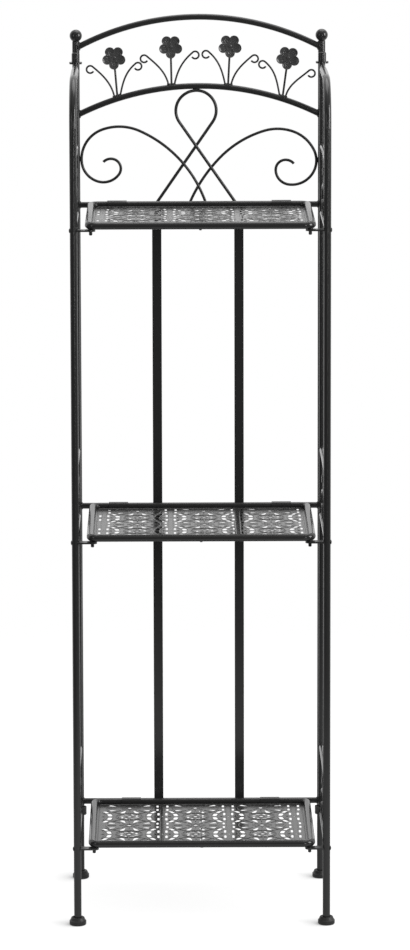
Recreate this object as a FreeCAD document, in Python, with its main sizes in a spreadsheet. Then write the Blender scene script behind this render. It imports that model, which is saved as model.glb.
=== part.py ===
"""Folding bakers rack: arched back frame, two hinged side frames and three shelves that fold up.

Millimetres. X to the right, the front faces -Y, +Z up. The origin is on the floor, at the middle of
the four feet.
"""
import FreeCAD, Part
import math
import os

import Sketcher
from FreeCAD import Placement, Rotation, Vector

DOC = FreeCAD.newDocument("bakers_rack")

# ---------------------------------------------------------------- driving sizes

SIZES = {
    # overall
    "rack_height": 1600.0,
    "post_spacing": 443.0,
    "frame_depth": 305.0,
    # tiers, by the axes of the crossbars, and the room from the top one to the crown of the rack
    "first_tier": 145.0,
    "crown_room": 346.0,
    # round members
    "post_diameter": 13.2,
    "post_wall": 1.2,
    "crossbar_diameter": 10.8,
    "arch_diameter": 10.8,
    "bar_wall": 1.0,
    "rung_diameter": 8.0,
    "stile_diameter": 9.5,
    # back frame
    "post_top_drop": 49.0,
    "top_arch_rise": 52.5,
    "lower_arch_rise": 50.0,
    "arch_gap": 125.0,
    "centre_bar_spacing": 149.0,
    "centre_bar_shift": -2.5,
    "centre_bar_width": 16.8,
    "centre_bar_thickness": 3.0,
    "finial_diameter": 22.4,
    "finial_sink": 0.9,
    "finial_plug": 14.0,
    # feet
    "foot_diameter": 30.0,
    "foot_rim": 8.5,
    "foot_height": 13.5,
    "foot_dish": 2.0,
    "foot_floor": 4.0,
    "fit_gap": 0.05,
    # wire ornament
    "loop_wire": 5.6,
    "loop_diameter": 73.0,
    "loop_foot_spacing": 144.0,
    "loop_shift": -5.2,
    "scroll_wire": 5.1,
    "stem_wire": 3.8,
    "tendril_wire": 3.4,
    "curl_diameter": 13.2,
    "petal_diameter": 16.4,
    "petal_circle": 26.0,
    "flower_centre": 17.0,
    "flower_thickness": 2.4,
    # side frames
    "pintle_offset": 25.0,
    "side_top_drop": 94.0,
    "side_bend": 80.0,
    "pinch_length": 60.0,
    "pinch_width": 5.0,
    "pinch_height": 13.0,
    "upper_rung_rise": 109.0,
    "lower_rung_drop": 11.0,
    "pintle_flange": 23.0,
    "pintle_flange_thickness": 3.5,
    "knuckle_diameter": 14.5,
    "knuckle_height": 17.0,
    "knuckle_arm": 8.0,
    "pintle_pin": 6.0,
    "pintle_pin_length": 34.0,
    "pintle_clearance": 0.3,
    "lower_pintle_height": 131.0,
    "lower_collar": 10.0,
    # shelves and their hinges
    "rail_diameter": 13.0,
    "rail_wall": 1.0,
    "shelf_width": 404.0,
    "shelf_corner": 13.0,
    "shelf_lift": 1.5,
    "rail_gap": 0.9,
    "clip_thickness": 1.2,
    "clip_length": 35.0,
    "clip_clearance": 0.3,
    "clip_spacing_upper": 297.0,
    "clip_spacing_bottom": 255.0,
    "sheet_thickness": 0.6,
    "sheet_drop": 2.8,
    "sheet_margin": 6.5,
    "rib_width": 3.0,
    "rib_height": 6.0,
    "pin_diameter": 6.0,
    "pin_length": 10.5,
    "tab_length": 31.5,
    "tab_width": 16.0,
    "tab_thickness": 3.0,
    "tab_gap": 0.3,
    "tab_hole": 7.6,
    # stamped pattern of the shelves
    "pattern_pitch": 120.0,
    "strip_shift_upper": -53.3,
    "strip_shift_bottom": -49.7,
    "rosette_row": -16.5,
    "hub_width": 7.0,
    "slot_width": 3.9,
    "drop_width": 8.2,
    "leaf_width": 7.6,
    "wreath_width": 4.2,
}

SHEET = DOC.addObject("Spreadsheet::Sheet", "sizes")
for row, (alias, value) in enumerate(SIZES.items(), start=1):
    SHEET.set(f"A{row}", alias.replace("_", " "))
    SHEET.set(f"B{row}", str(value))
    SHEET.setAlias(f"B{row}", alias)
DOC.recompute()


def size(alias):
    """The number in the sheet's cell with this alias."""
    return float(SHEET.get(alias))


# ---------------------------------------------------------------- derived places

HALF_SPACING = size("post_spacing") / 2
BACK_Y = size("frame_depth") / 2
FRONT_Y = -BACK_Y
POST_R = size("post_diameter") / 2
CROSSBAR_R = size("crossbar_diameter") / 2
ARCH_R = size("arch_diameter") / 2
RAIL_R = size("rail_diameter") / 2
STILE_R = size("stile_diameter") / 2
RUNG_R = size("rung_diameter") / 2

TIERS = {"bottom": 0, "middle": 1, "top": 2}
TIER_STEP = "((sizes.rack_height - sizes.first_tier - sizes.crown_room) / 2)"
TIER_SPACING = (size("rack_height") - size("first_tier") - size("crown_room")) / 2
TIER_Z = {tier: size("first_tier") + n * TIER_SPACING for tier, n in TIERS.items()}
SIDES = {"left": -1, "right": 1}

TOP_CROWN_Z = size("rack_height") - ARCH_R
LOWER_CROWN_Z = TOP_CROWN_Z - size("arch_gap")
POST_TOP_Z = size("rack_height") - size("post_top_drop")

PINTLE_Y = BACK_Y - size("pintle_offset")
SIDE_TOP_Z = size("rack_height") - size("side_top_drop")
FLANGE_TOP_Z = SIDE_TOP_Z + size("pinch_height") / 2 + size("pintle_flange_thickness")

HINGE_REACH = CROSSBAR_R + size("rail_gap") + RAIL_R
HINGE_Y = BACK_Y - math.sqrt(HINGE_REACH**2 - size("shelf_lift") ** 2)
RAIL_X = size("shelf_width") / 2 - RAIL_R
SHEET_TOP_DROP = max(size("sheet_drop") - size("sheet_thickness") / 2, 0)
SHEET_INSET = math.sqrt(RAIL_R**2 - SHEET_TOP_DROP**2) + size("fit_gap")
CORNER_IN = size("shelf_corner") * (1 - math.cos(math.radians(45)))
PIN_X = RAIL_X - CORNER_IN
PIN_Y = FRONT_Y + CORNER_IN

PARTS = []


def part(label, item):
    """Keep an object as one of the rack's sub-parts."""
    item.Label = label
    PARTS.append(item)
    return item


# ---------------------------------------------------------------- sketch and body helpers


def new_body(name):
    return DOC.addObject("PartDesign::Body", name)


def sketch_on(body, role, name):
    """A sketch on one of the body's own origin planes."""
    plane = next(f for f in body.Origin.OriginFeatures if f.Role == role)
    sketch = body.newObject("Sketcher::SketchObject", name)
    sketch.AttachmentSupport = [(plane, "")]
    sketch.MapMode = "FlatFace"
    return sketch


def bind(sketch, constraint, expression):
    index = sketch.addConstraint(constraint)
    sketch.setExpression(f"Constraints[{index}]", expression)


def add_circle(sketch, diameter, x=None, y=None, start=(0, 0)):
    """A circle whose diameter and centre follow expressions. x or y left out is zero."""
    circle = sketch.addGeometry(Part.Circle(Vector(*start, 0), Vector(0, 0, 1), 5))
    bind(sketch, Sketcher.Constraint("Diameter", circle, 10), diameter)
    if x is None and y is None:
        sketch.addConstraint(Sketcher.Constraint("Coincident", circle, 3, -1, 1))
        return
    if x is None:
        sketch.addConstraint(Sketcher.Constraint("PointOnObject", circle, 3, -2))
    else:
        bind(sketch, Sketcher.Constraint("DistanceX", -1, 1, circle, 3, start[0]), x)
    if y is None:
        sketch.addConstraint(Sketcher.Constraint("PointOnObject", circle, 3, -1))
    else:
        bind(sketch, Sketcher.Constraint("DistanceY", -1, 1, circle, 3, start[1]), y)


def add_outline(sketch, points):
    """A closed outline of straight lines."""
    for start, end in zip(points, points[1:] + points[:1]):
        sketch.addGeometry(Part.LineSegment(Vector(*start, 0), Vector(*end, 0)))


def pad(body, sketch, length, both_ways=False):
    feature = body.newObject("PartDesign::Pad", "pad")
    feature.Profile = sketch
    feature.setExpression("Length", length)
    feature.SideType = "Symmetric" if both_ways else "One side"
    return feature


def cut_through(body, sketch):
    feature = body.newObject("PartDesign::Pocket", "pocket")
    feature.Profile = sketch
    feature.Type = "ThroughAll"
    feature.SideType = "Symmetric"
    return feature


def spin(body, sketch):
    """Revolve a sketch's profile about its vertical axis."""
    feature = body.newObject("PartDesign::Revolution", "revolution")
    feature.Profile = sketch
    feature.ReferenceAxis = (sketch, ["V_Axis"])
    feature.Angle = 360
    return feature


def place(item, x, y, z):
    """Bind an object's place to expressions."""
    item.setExpression("Placement.Base.x", x)
    item.setExpression("Placement.Base.y", y)
    item.setExpression("Placement.Base.z", z)


def group(label, items):
    compound = DOC.addObject("Part::Compound", label)
    compound.Links = items
    return part(label, compound)


def shaped(name, shape):
    feature = DOC.addObject("Part::Feature", name)
    feature.Shape = shape
    return feature


def tube_body(name, diameter, wall, length):
    """An upright tube that starts at its own origin."""
    body = new_body(name)
    sketch = sketch_on(body, "XY_Plane", "ring")
    add_circle(sketch, f"sizes.{diameter}")
    add_circle(sketch, f"sizes.{diameter} - 2 * sizes.{wall}")
    pad(body, sketch, length)
    return body


def coped_tube(name, diameter, wall, span, first, last):
    """A tube along its own X, centred, whose ends fit against two upright rounds of those diameters.

    span is the distance between the axes of the two rounds.
    """
    body = new_body(name)
    ring = sketch_on(body, "YZ_Plane", "ring")
    add_circle(ring, f"sizes.{diameter}")
    add_circle(ring, f"sizes.{diameter} - 2 * sizes.{wall}")
    pad(body, ring, span, both_ways=True)
    copes = sketch_on(body, "XY_Plane", "copes")
    add_circle(copes, first, x=f"-({span}) / 2", start=(-100, 0))
    add_circle(copes, last, x=f"({span}) / 2", start=(100, 0))
    cut_through(body, copes)
    return body


def turned(name, outline):
    """A round piece from its half section, given as (radius, height) points."""
    body = new_body(name)
    sketch = sketch_on(body, "XZ_Plane", "half_section")
    add_outline(sketch, outline)
    spin(body, sketch)
    return body


# ---------------------------------------------------------------- wire helpers


def arc_path(start, heading, steps):
    """A smooth path of arcs in the XZ plane.

    start is (x, z), heading is in degrees from +X towards +Z, and each step is (radius, turn) with a
    positive turn to the left, or (length, 0) for a straight run.
    """
    x, z = start
    edges = []
    for radius, turn in steps:
        angle = math.radians(heading)
        here = Vector(x, 0, z)
        if turn == 0:
            there = here + Vector(math.cos(angle), 0, math.sin(angle)) * radius
            edges.append(Part.LineSegment(here, there).toShape())
        else:
            side = math.copysign(1, turn)
            centre = here + Vector(-math.sin(angle), 0, math.cos(angle)) * radius * side
            spoke = here - centre
            axis = Vector(0, -1, 0)
            middle = centre + Rotation(axis, turn / 2).multVec(spoke)
            there = centre + Rotation(axis, turn).multVec(spoke)
            edges.append(Part.Arc(here, middle, there).toShape())
        x, z = there.x, there.z
        heading += turn
    return Part.Wire(edges)


def wire_along(path, diameter):
    """A round wire swept along a path."""
    first = path.OrderedEdges[0]
    start = first.valueAt(first.FirstParameter)
    tangent = first.tangentAt(first.FirstParameter)
    section = Part.Wire(Part.Circle(start, tangent, diameter / 2).toShape())
    return path.makePipeShell([section], True, False)


def mirrored(shape):
    """The same shape on the other side of the rack's middle plane."""
    return shape.mirror(Vector(0, 0, 0), Vector(1, 0, 0))


def rod(start, end, radius):
    """A solid round bar between two points."""
    return Part.makeCylinder(radius, (end - start).Length, start, end - start)


# ---------------------------------------------------------------- back frame


def arch_radius(rise):
    """The radius of an arch that rises this much between the inner faces of the posts."""
    half = HALF_SPACING - POST_R
    return (half**2 + rise**2) / (2 * rise)


def arch(label, rise, crown):
    """A bent tube between the posts: a ring section turned about a level axis behind the arch's foot."""
    half = "(sizes.post_spacing / 2 - sizes.post_diameter / 2)"
    radius = f"({half}^2 + sizes.{rise}^2) / (2 * sizes.{rise})"
    body = new_body(label)
    ring = sketch_on(body, "YZ_Plane", "ring")
    start = (0, arch_radius(size(rise)))
    add_circle(ring, "sizes.arch_diameter", y=radius, start=start)
    add_circle(ring, "sizes.arch_diameter - 2 * sizes.bar_wall", y=radius, start=start)
    bend = body.newObject("PartDesign::Revolution", "bend")
    bend.Profile = ring
    bend.ReferenceAxis = (ring, ["H_Axis"])
    bend.Midplane = True
    bend.setExpression("Angle", f"2 * asin(sizes.post_spacing / 2 / ({radius}))")
    copes = sketch_on(body, "XY_Plane", "copes")
    for sign in (-1, 1):
        at = f"{sign} * sizes.post_spacing / 2"
        add_circle(copes, "sizes.post_diameter", x=at, start=(sign * 100, 0))
    cut_through(body, copes)
    place(body, "0 mm", "sizes.frame_depth / 2", f"{crown} - {radius}")
    return part(label, body)


def arch_solid(rise, crown):
    """The full round of an arch, to fit feet against its top or underside."""
    radius = arch_radius(rise)
    centre = Vector(0, BACK_Y, crown - radius)
    return Part.makeTorus(radius, ARCH_R, centre, Vector(0, 1, 0))


def finial(label, side):
    """A ball with a flat seat on the post and a plug inside it."""
    radius = size("finial_diameter") / 2
    plug = size("post_diameter") / 2 - size("post_wall") - size("fit_gap")
    depth = size("finial_plug")
    centre = radius * size("finial_sink")
    seat = math.sqrt(radius**2 - centre**2)
    body = new_body(label)
    sketch = sketch_on(body, "XZ_Plane", "half_section")
    corners = [(seat, 0), (plug, 0), (plug, -depth), (0, -depth), (0, centre + radius)]
    for start, end in zip(corners, corners[1:]):
        sketch.addGeometry(Part.LineSegment(Vector(*start, 0), Vector(*end, 0)))
    ball = Part.Arc(Vector(seat, 0, 0), Vector(radius, centre, 0), Vector(0, centre + radius, 0))
    sketch.addGeometry(ball)
    spin(body, sketch)
    place(body, f"{side} * sizes.post_spacing / 2", "sizes.frame_depth / 2",
          "sizes.rack_height - sizes.post_top_drop")
    return part(label, body)


def foot(label, side, depth_sign):
    """A squat foot with a dished top that grips the end of a post."""
    rim = size("foot_diameter") / 2
    socket = POST_R + size("fit_gap")
    shoulder = (rim + socket) / 2
    top = size("foot_height")
    lip = top - size("foot_dish")
    floor = size("foot_floor")
    outline = [
        (0, 0),
        (rim - 1, 0),
        (rim, 1.5),
        (rim, size("foot_rim") - 1.5),
        (rim - 1.5, size("foot_rim")),
        (shoulder + 0.8, top - 0.5),
        (shoulder, top),
        (shoulder - 0.8, top - 0.5),
        (socket + 1, lip),
        (socket, lip),
        (socket, floor),
        (0, floor),
    ]
    body = turned(label, outline)
    place(body, f"{side} * sizes.post_spacing / 2", f"{depth_sign} * sizes.frame_depth / 2", "0 mm")
    return part(label, body)


def back_frame():
    for name, side in SIDES.items():
        post = tube_body(f"back_post_{name}", "post_diameter", "post_wall",
                         "sizes.rack_height - sizes.post_top_drop - sizes.foot_floor")
        place(post, f"{side} * sizes.post_spacing / 2", "sizes.frame_depth / 2", "sizes.foot_floor")
        part(f"back_post_{name}", post)
        finial(f"ball_finial_{name}", side)
        foot(f"foot_back_{name}", side, 1)
        foot(f"foot_front_{name}", side, -1)
    arch("top_arch", "top_arch_rise", "sizes.rack_height - sizes.arch_diameter / 2")
    arch("lower_arch", "lower_arch_rise",
         "sizes.rack_height - sizes.arch_diameter / 2 - sizes.arch_gap")
    for tier, n in TIERS.items():
        bar = coped_tube(f"crossbar_{tier}", "crossbar_diameter", "bar_wall", "sizes.post_spacing",
                         "sizes.post_diameter", "sizes.post_diameter")
        place(bar, "0 mm", "sizes.frame_depth / 2", f"sizes.first_tier + {n} * {TIER_STEP}")
        part(f"crossbar_{tier}", bar)
    for name, side in SIDES.items():
        bar = DOC.addObject("Part::Box", f"centre_bar_{name}")
        bar.setExpression("Length", "sizes.centre_bar_width")
        bar.setExpression("Width", "sizes.centre_bar_thickness")
        bar.setExpression("Height", f"2 * {TIER_STEP} + sizes.crossbar_diameter / 2")
        place(bar, f"sizes.centre_bar_shift + {side} * sizes.centre_bar_spacing / 2"
              " - sizes.centre_bar_width / 2",
              "sizes.frame_depth / 2 + sizes.crossbar_diameter / 2 + sizes.fit_gap",
              "sizes.first_tier - sizes.crossbar_diameter / 4")
        part(f"centre_bar_{name}", bar)


# ---------------------------------------------------------------- wire ornament over the top shelf


def crossbar_round():
    """The full round of the top crossbar, to fit the feet of the wires on it."""
    start = Vector(-HALF_SPACING, BACK_Y, TIER_Z["top"])
    return rod(start, Vector(HALF_SPACING, BACK_Y, TIER_Z["top"]), CROSSBAR_R)


def teardrop_loop():
    """One wire: a round loop whose two legs cross and stand on the crossbar.

    The legs lie in two layers, half a wire in front of and behind the middle of the frame, and the
    loop changes layer over its top.
    """
    wire = size("loop_wire")
    radius = size("loop_diameter") / 2
    layer = wire / 2 + size("fit_gap")
    centre_z = LOWER_CROWN_Z - ARCH_R - size("fit_gap") - wire / 2 - radius
    shift = size("loop_shift")
    foot_x = size("loop_foot_spacing") / 2
    foot_z = TIER_Z["top"] + CROSSBAR_R / 2
    # a leg is tangent to the loop on the far side of the middle
    reach = math.hypot(foot_x, centre_z - foot_z)
    lean = math.atan2(foot_x, centre_z - foot_z) + math.asin(radius / reach)

    def on_loop(degrees, y):
        angle = math.radians(degrees)
        return Vector(shift + radius * math.cos(angle), y, centre_z + radius * math.sin(angle))

    first, last = -math.degrees(lean), 180 + math.degrees(lean)
    jog_from, jog_to = 60, 120
    back, front = BACK_Y + layer, BACK_Y - layer
    jog_points = []
    for step in range(5):
        share = step / 4
        y = BACK_Y + layer * math.cos(math.pi * share)
        jog_points.append(on_loop(jog_from + share * (jog_to - jog_from), y))
    jog = Part.BSplineCurve()
    start_angle, end_angle = math.radians(jog_from), math.radians(jog_to)
    jog.interpolate(Points=jog_points,
                    InitialTangent=Vector(-math.sin(start_angle), 0, math.cos(start_angle)),
                    FinalTangent=Vector(-math.sin(end_angle), 0, math.cos(end_angle)))
    path = Part.Wire([
        Part.LineSegment(Vector(shift - foot_x, back, foot_z), on_loop(first, back)).toShape(),
        Part.Arc(on_loop(first, back), on_loop((first + jog_from) / 2, back),
                 on_loop(jog_from, back)).toShape(),
        jog.toShape(),
        Part.Arc(on_loop(jog_to, front), on_loop((last + jog_to) / 2, front),
                 on_loop(last, front)).toShape(),
        Part.LineSegment(on_loop(last, front), Vector(shift + foot_x, front, foot_z)).toShape(),
    ])
    solid = wire_along(path, wire).cut(crossbar_round())
    part("teardrop_loop", shaped("teardrop_loop", solid))


# Each corner scroll, drawn as if on the right: foot x, heading in degrees from +X, then its clockwise
# bends as (radius, turn).
SCROLLS = {
    "left": (-12.4, 70.2,
             [(299, 4), (223, 42), (91, 44), (57, 77), (41, 69), (35, 68), (18, 120), (19, 52)]),
    "right": (-17.0, 66.8,
              [(272, 21), (187, 29), (84, 37), (67, 44), (44, 125), (27, 82), (18, 83), (19, 56)]),
}


def corner_scrolls():
    """Two scrolls, one in front of the other, that cross over the crossbar and curl against the posts."""
    wire = size("scroll_wire")
    layer = wire / 2 + size("fit_gap")
    for name, side in SIDES.items():
        foot_x, heading, bends = SCROLLS[name]
        draft = arc_path((0, 0), heading, [(radius, -turn) for radius, turn in bends])
        reach = HALF_SPACING - POST_R - wire / 2 - size("fit_gap") - foot_x
        grow = reach / draft.BoundBox.XMax
        path = arc_path((0, 0), heading, [(radius * grow, -turn) for radius, turn in bends])
        path.translate(Vector(foot_x, BACK_Y + side * layer, TIER_Z["top"] + CROSSBAR_R / 2))
        solid = wire_along(path, wire).cut(crossbar_round())
        if side < 0:
            solid = mirrored(solid)
        part(f"scroll_{name}", shaped(f"scroll_{name}", solid))


# Each flower: stem foot x, head x, head height over the lower arch's crown, clockwise tilt in
# degrees, then the middles of its left and right curls as (x, height over the crown).
FLOWERS = [
    (-147.0, -153.0, 52.0, 0, (-195.8, 30.5), (-109.7, 36.0)),
    (-49.2, -50.6, 71.5, 0, (-98.5, 49.5), (-6.4, 56.0)),
    (52.7, 56.3, 72.5, 0, (12.9, 57.2), (100.5, 49.0)),
    (151.0, 160.8, 50.7, 8, (115.0, 38.5), (203.0, 22.0)),
]


def lower_arch_top(x):
    """Height of the lower arch's axis at this x."""
    radius = arch_radius(size("lower_arch_rise"))
    return LOWER_CROWN_Z - radius + math.sqrt(radius**2 - x**2)


def tendril(foot_x, curl_x, curl_z, side):
    """A wire that leaves the arch beside the stem and curls into a small ring. side is -1 or 1."""
    radius = size("curl_diameter") / 2
    foot = Vector(foot_x, BACK_Y, lower_arch_top(foot_x) + ARCH_R / 2)
    meet = math.radians(90 + side * 40)
    centre = Vector(curl_x, BACK_Y, curl_z)
    join = centre + Vector(math.cos(meet), 0, math.sin(meet)) * radius
    heading = Vector(side * math.sin(meet), 0, -side * math.cos(meet))
    handle = (join - foot).Length * 0.38
    rise = Part.BezierCurve()
    leave = Vector(side * 0.2, 0, 1).normalize()
    rise.setPoles([foot, foot + leave * handle, join - heading * handle, join])
    turn = -side * 280
    spoke = join - centre
    axis = Vector(0, -1, 0)
    curl = Part.Arc(join, centre + Rotation(axis, turn / 2).multVec(spoke),
                    centre + Rotation(axis, turn).multVec(spoke))
    return wire_along(Part.Wire([rise.toShape(), curl.toShape()]), size("tendril_wire"))


def flowers():
    arch_round = arch_solid(size("lower_arch_rise"), LOWER_CROWN_Z)
    stem_r = size("stem_wire") / 2
    tendril_gap = stem_r + size("tendril_wire") / 2 + 1.2
    thickness = size("flower_thickness")
    for number, (foot_x, head_x, head_up, tilt, left, right) in enumerate(FLOWERS, start=1):
        foot = Vector(foot_x, BACK_Y, lower_arch_top(foot_x) + ARCH_R / 2)
        head = Vector(head_x, BACK_Y, LOWER_CROWN_Z + head_up)
        stem = rod(foot, head, stem_r).cut(arch_round)
        part(f"flower_stem_{number}", shaped(f"flower_stem_{number}", stem))
        curls = []
        for side, (curl_x, curl_up) in ((-1, left), (1, right)):
            wire = tendril(foot_x + side * tendril_gap, curl_x, LOWER_CROWN_Z + curl_up, side)
            curls.append(shaped(f"tendril_{number}", wire.cut(arch_round)))
        group(f"tendril_pair_{number}", curls)
        petals = []
        for petal in range(5):
            angle = math.radians(-90 + 72 * petal)
            disc = DOC.addObject("Part::Cylinder", "petal")
            disc.setExpression("Radius", "sizes.petal_diameter / 2")
            disc.setExpression("Height", "sizes.flower_thickness")
            disc.setExpression("Placement.Base.x", f"sizes.petal_circle / 2 * {math.cos(angle):.6f}")
            disc.setExpression("Placement.Base.y", f"sizes.petal_circle / 2 * {math.sin(angle):.6f}")
            petals.append(disc)
        centre = DOC.addObject("Part::Cylinder", "centre")
        centre.setExpression("Radius", "sizes.flower_centre / 2")
        centre.setExpression("Height", "sizes.flower_thickness")
        bloom = DOC.addObject("Part::MultiFuse", f"flower_head_{number}")
        bloom.Shapes = petals + [centre]
        upright = Rotation(Vector(1, 0, 0), 90)
        turned_head = Rotation(Vector(0, 1, 0), tilt) * upright
        bloom.Placement = Placement(Vector(head.x, BACK_Y - stem_r - size("fit_gap"), head.z), turned_head)
        part(f"flower_head_{number}", bloom)


# ---------------------------------------------------------------- side frames


def front_post(label, side):
    """Front leg: a tube bent back at the top, its end pinched to a thin upright blade at the hinge."""
    bend = size("side_bend")
    pinch_end = PINTLE_Y - STILE_R - size("fit_gap")
    pinch_start = pinch_end - size("pinch_length")
    foot_z = size("foot_floor")
    x = side * HALF_SPACING
    shoulder = Vector(x, FRONT_Y, SIDE_TOP_Z - bend)
    turn = math.radians(45)
    mid_bend = Vector(x, FRONT_Y + bend * (1 - math.cos(turn)), SIDE_TOP_Z - bend * (1 - math.sin(turn)))
    level = Vector(x, FRONT_Y + bend, SIDE_TOP_Z)
    path = Part.Wire([
        Part.LineSegment(Vector(x, FRONT_Y, foot_z), shoulder).toShape(),
        Part.Arc(shoulder, mid_bend, level).toShape(),
        Part.LineSegment(level, Vector(x, pinch_start, SIDE_TOP_Z)).toShape(),
    ])
    outer = wire_along(path, size("post_diameter"))
    inner = wire_along(path, size("post_diameter") - 2 * size("post_wall"))
    round_end = Part.Wire(Part.Circle(Vector(x, pinch_start, SIDE_TOP_Z), Vector(0, 1, 0), POST_R).toShape())
    blade = Part.Ellipse(Vector(x, pinch_end, SIDE_TOP_Z + size("pinch_height") / 2),
                         Vector(x + size("pinch_width") / 2, pinch_end, SIDE_TOP_Z),
                         Vector(x, pinch_end, SIDE_TOP_Z))
    pinch = Part.makeLoft([round_end, Part.Wire(blade.toShape())], True)
    part(label, shaped(label, outer.cut(inner).fuse(pinch).removeSplitter()))


def stile(label, side):
    """Upright tube at the hinge line, with a flange round its top and a collar round its foot."""
    bore = size("pintle_pin") / 2 + size("fit_gap")
    seat = STILE_R + size("fit_gap")
    rim = size("pintle_flange") / 2
    foot_z = size("lower_pintle_height")
    collar_z = foot_z + size("lower_collar")
    flange_z = FLANGE_TOP_Z - size("pintle_flange_thickness")
    rings = []
    for inner, outer, low, high in ((bore, STILE_R, foot_z, FLANGE_TOP_Z), (seat, rim, foot_z, collar_z),
                                    (seat, rim, flange_z, FLANGE_TOP_Z)):
        ring = turned(f"{label}_ring", [(inner, low), (outer, low), (outer, high), (inner, high)])
        place(ring, f"{side} * sizes.post_spacing / 2", "sizes.frame_depth / 2 - sizes.pintle_offset", "0 mm")
        rings.append(ring)
    group(label, rings)


def knuckle(side, low, high, flange_low, flange_high, domed):
    """A bracket on the back post that holds one pin of a side frame."""
    x = side * HALF_SPACING
    radius = size("knuckle_diameter") / 2
    axis_foot = Vector(x, PINTLE_Y, low)
    barrel = Part.makeCylinder(radius, high - low, axis_foot)
    if domed:
        rim = [e for e in barrel.Edges if e.BoundBox.ZMin > high - 1e-6]
        barrel = barrel.makeFillet(radius * 0.5, rim)
    if flange_high > flange_low:
        flange = Part.makeCylinder(size("pintle_flange") / 2, flange_high - flange_low,
                                   Vector(x, PINTLE_Y, flange_low))
        barrel = barrel.fuse(flange)
    arm = size("knuckle_arm")
    arm_low = (low + high) / 2 - arm / 2
    link = Part.makeBox(arm, BACK_Y - PINTLE_Y, arm, Vector(x - arm / 2, PINTLE_Y, arm_low))
    post = Part.makeCylinder(POST_R + size("fit_gap"), arm, Vector(x, BACK_Y, arm_low))
    hole = Part.makeCylinder(size("pintle_pin") / 2 + size("fit_gap"), high - low, axis_foot)
    return shaped("knuckle", barrel.fuse(link).cut(post).cut(hole).removeSplitter())


def pintles():
    """The fixed brackets and the four pins that the side frames swing on."""
    clearance = size("pintle_clearance")
    height = size("knuckle_height")
    foot_z = size("lower_pintle_height")
    pin_r = size("pintle_pin") / 2
    pin_length = size("pintle_pin_length")
    pins = []
    for name, side in SIDES.items():
        top_low = FLANGE_TOP_Z + clearance
        top = knuckle(side, top_low, top_low + height, 0, 0, True)
        bottom_high = foot_z - clearance
        bottom = knuckle(side, bottom_high - height, bottom_high,
                         bottom_high - size("pintle_flange_thickness"), bottom_high, False)
        group(f"hinge_knuckles_{name}", [top, bottom])
        top_pin_high = top_low + height * 0.75
        for low in (top_pin_high - pin_length, bottom_high - height * 0.75):
            base = Vector(side * HALF_SPACING, PINTLE_Y, low)
            pins.append(shaped("hinge_pin", Part.makeCylinder(pin_r, pin_length, base)))
    group("hinge_pins", pins)


def rungs(name, side):
    """Level tubes from the front post to the stile, two for each tier."""
    span = "sizes.frame_depth - sizes.pintle_offset"
    rows = {"upper": ("+ sizes.upper_rung_rise", "sizes.stile_diameter"),
            "lower": ("- sizes.lower_rung_drop", "sizes.stile_diameter")}
    for row, (shift, stile_round) in rows.items():
        tubes = []
        for tier, n in TIERS.items():
            at_collar = row == "lower" and tier == "bottom"
            back_round = "sizes.pintle_flange" if at_collar else stile_round
            tube = coped_tube(f"{row}_rung_{tier}_{name}", "rung_diameter", "bar_wall", span,
                              "sizes.post_diameter", back_round)
            tube.Placement = Placement(Vector(0, 0, 0), Rotation(Vector(0, 0, 1), 90))
            place(tube, f"{side} * sizes.post_spacing / 2", "-sizes.pintle_offset / 2",
                  f"sizes.first_tier + {n} * {TIER_STEP} {shift}")
            tubes.append(tube)
        group(f"{row}_rungs_{name}", tubes)


def side_scrolls(name, side):
    """In each side frame and tier, two S-scrolls back to back, tied by a collar."""
    wire = size("scroll_wire")
    gap = size("fit_gap")
    half = [(10, -230), (22, -120), (60, -30)]
    steps = half + [(radius, -turn) for radius, turn in reversed(half)]
    draft = arc_path((0, 0), 20, steps)
    room = size("upper_rung_rise") + size("lower_rung_drop") - 2 * RUNG_R - wire - 2 * gap
    grow = room / draft.BoundBox.ZLength
    path = arc_path((0, 0), 20, [(radius * grow, turn) for radius, turn in steps])
    box = path.BoundBox
    touch = max(path.discretize(400), key=lambda point: point.x)
    middle_y = (FRONT_Y + PINTLE_Y) / 2
    solids = []
    for tier in TIERS:
        base_z = TIER_Z[tier] - size("lower_rung_drop") + RUNG_R + gap + wire / 2
        scroll = wire_along(path, wire)
        scroll.translate(Vector(-box.XMax - wire / 2 - gap, 0, base_z - box.ZMin))
        pair = [scroll, mirrored(scroll)]
        for solid in pair:
            solid.rotate(Vector(0, 0, 0), Vector(0, 0, 1), 90)
            solid.translate(Vector(side * HALF_SPACING, middle_y, 0))
            solids.append(shaped("side_scroll", solid))
        collar_z = base_z + touch.z - box.ZMin
        inside = Vector(wire + 2 * gap, 2 * wire + 4 * gap + 1.2, 4 * wire)
        outside = Vector(inside.x + 3.5, inside.y + 3, 2.4 * wire)
        at = Vector(side * HALF_SPACING, middle_y, collar_z)
        band = Part.makeBox(outside.x, outside.y, outside.z, at - outside * 0.5)
        hole = Part.makeBox(inside.x, inside.y, inside.z, at - inside * 0.5)
        solids.append(shaped("collar", band.cut(hole)))
    group(f"side_scrolls_{name}", solids)


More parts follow.
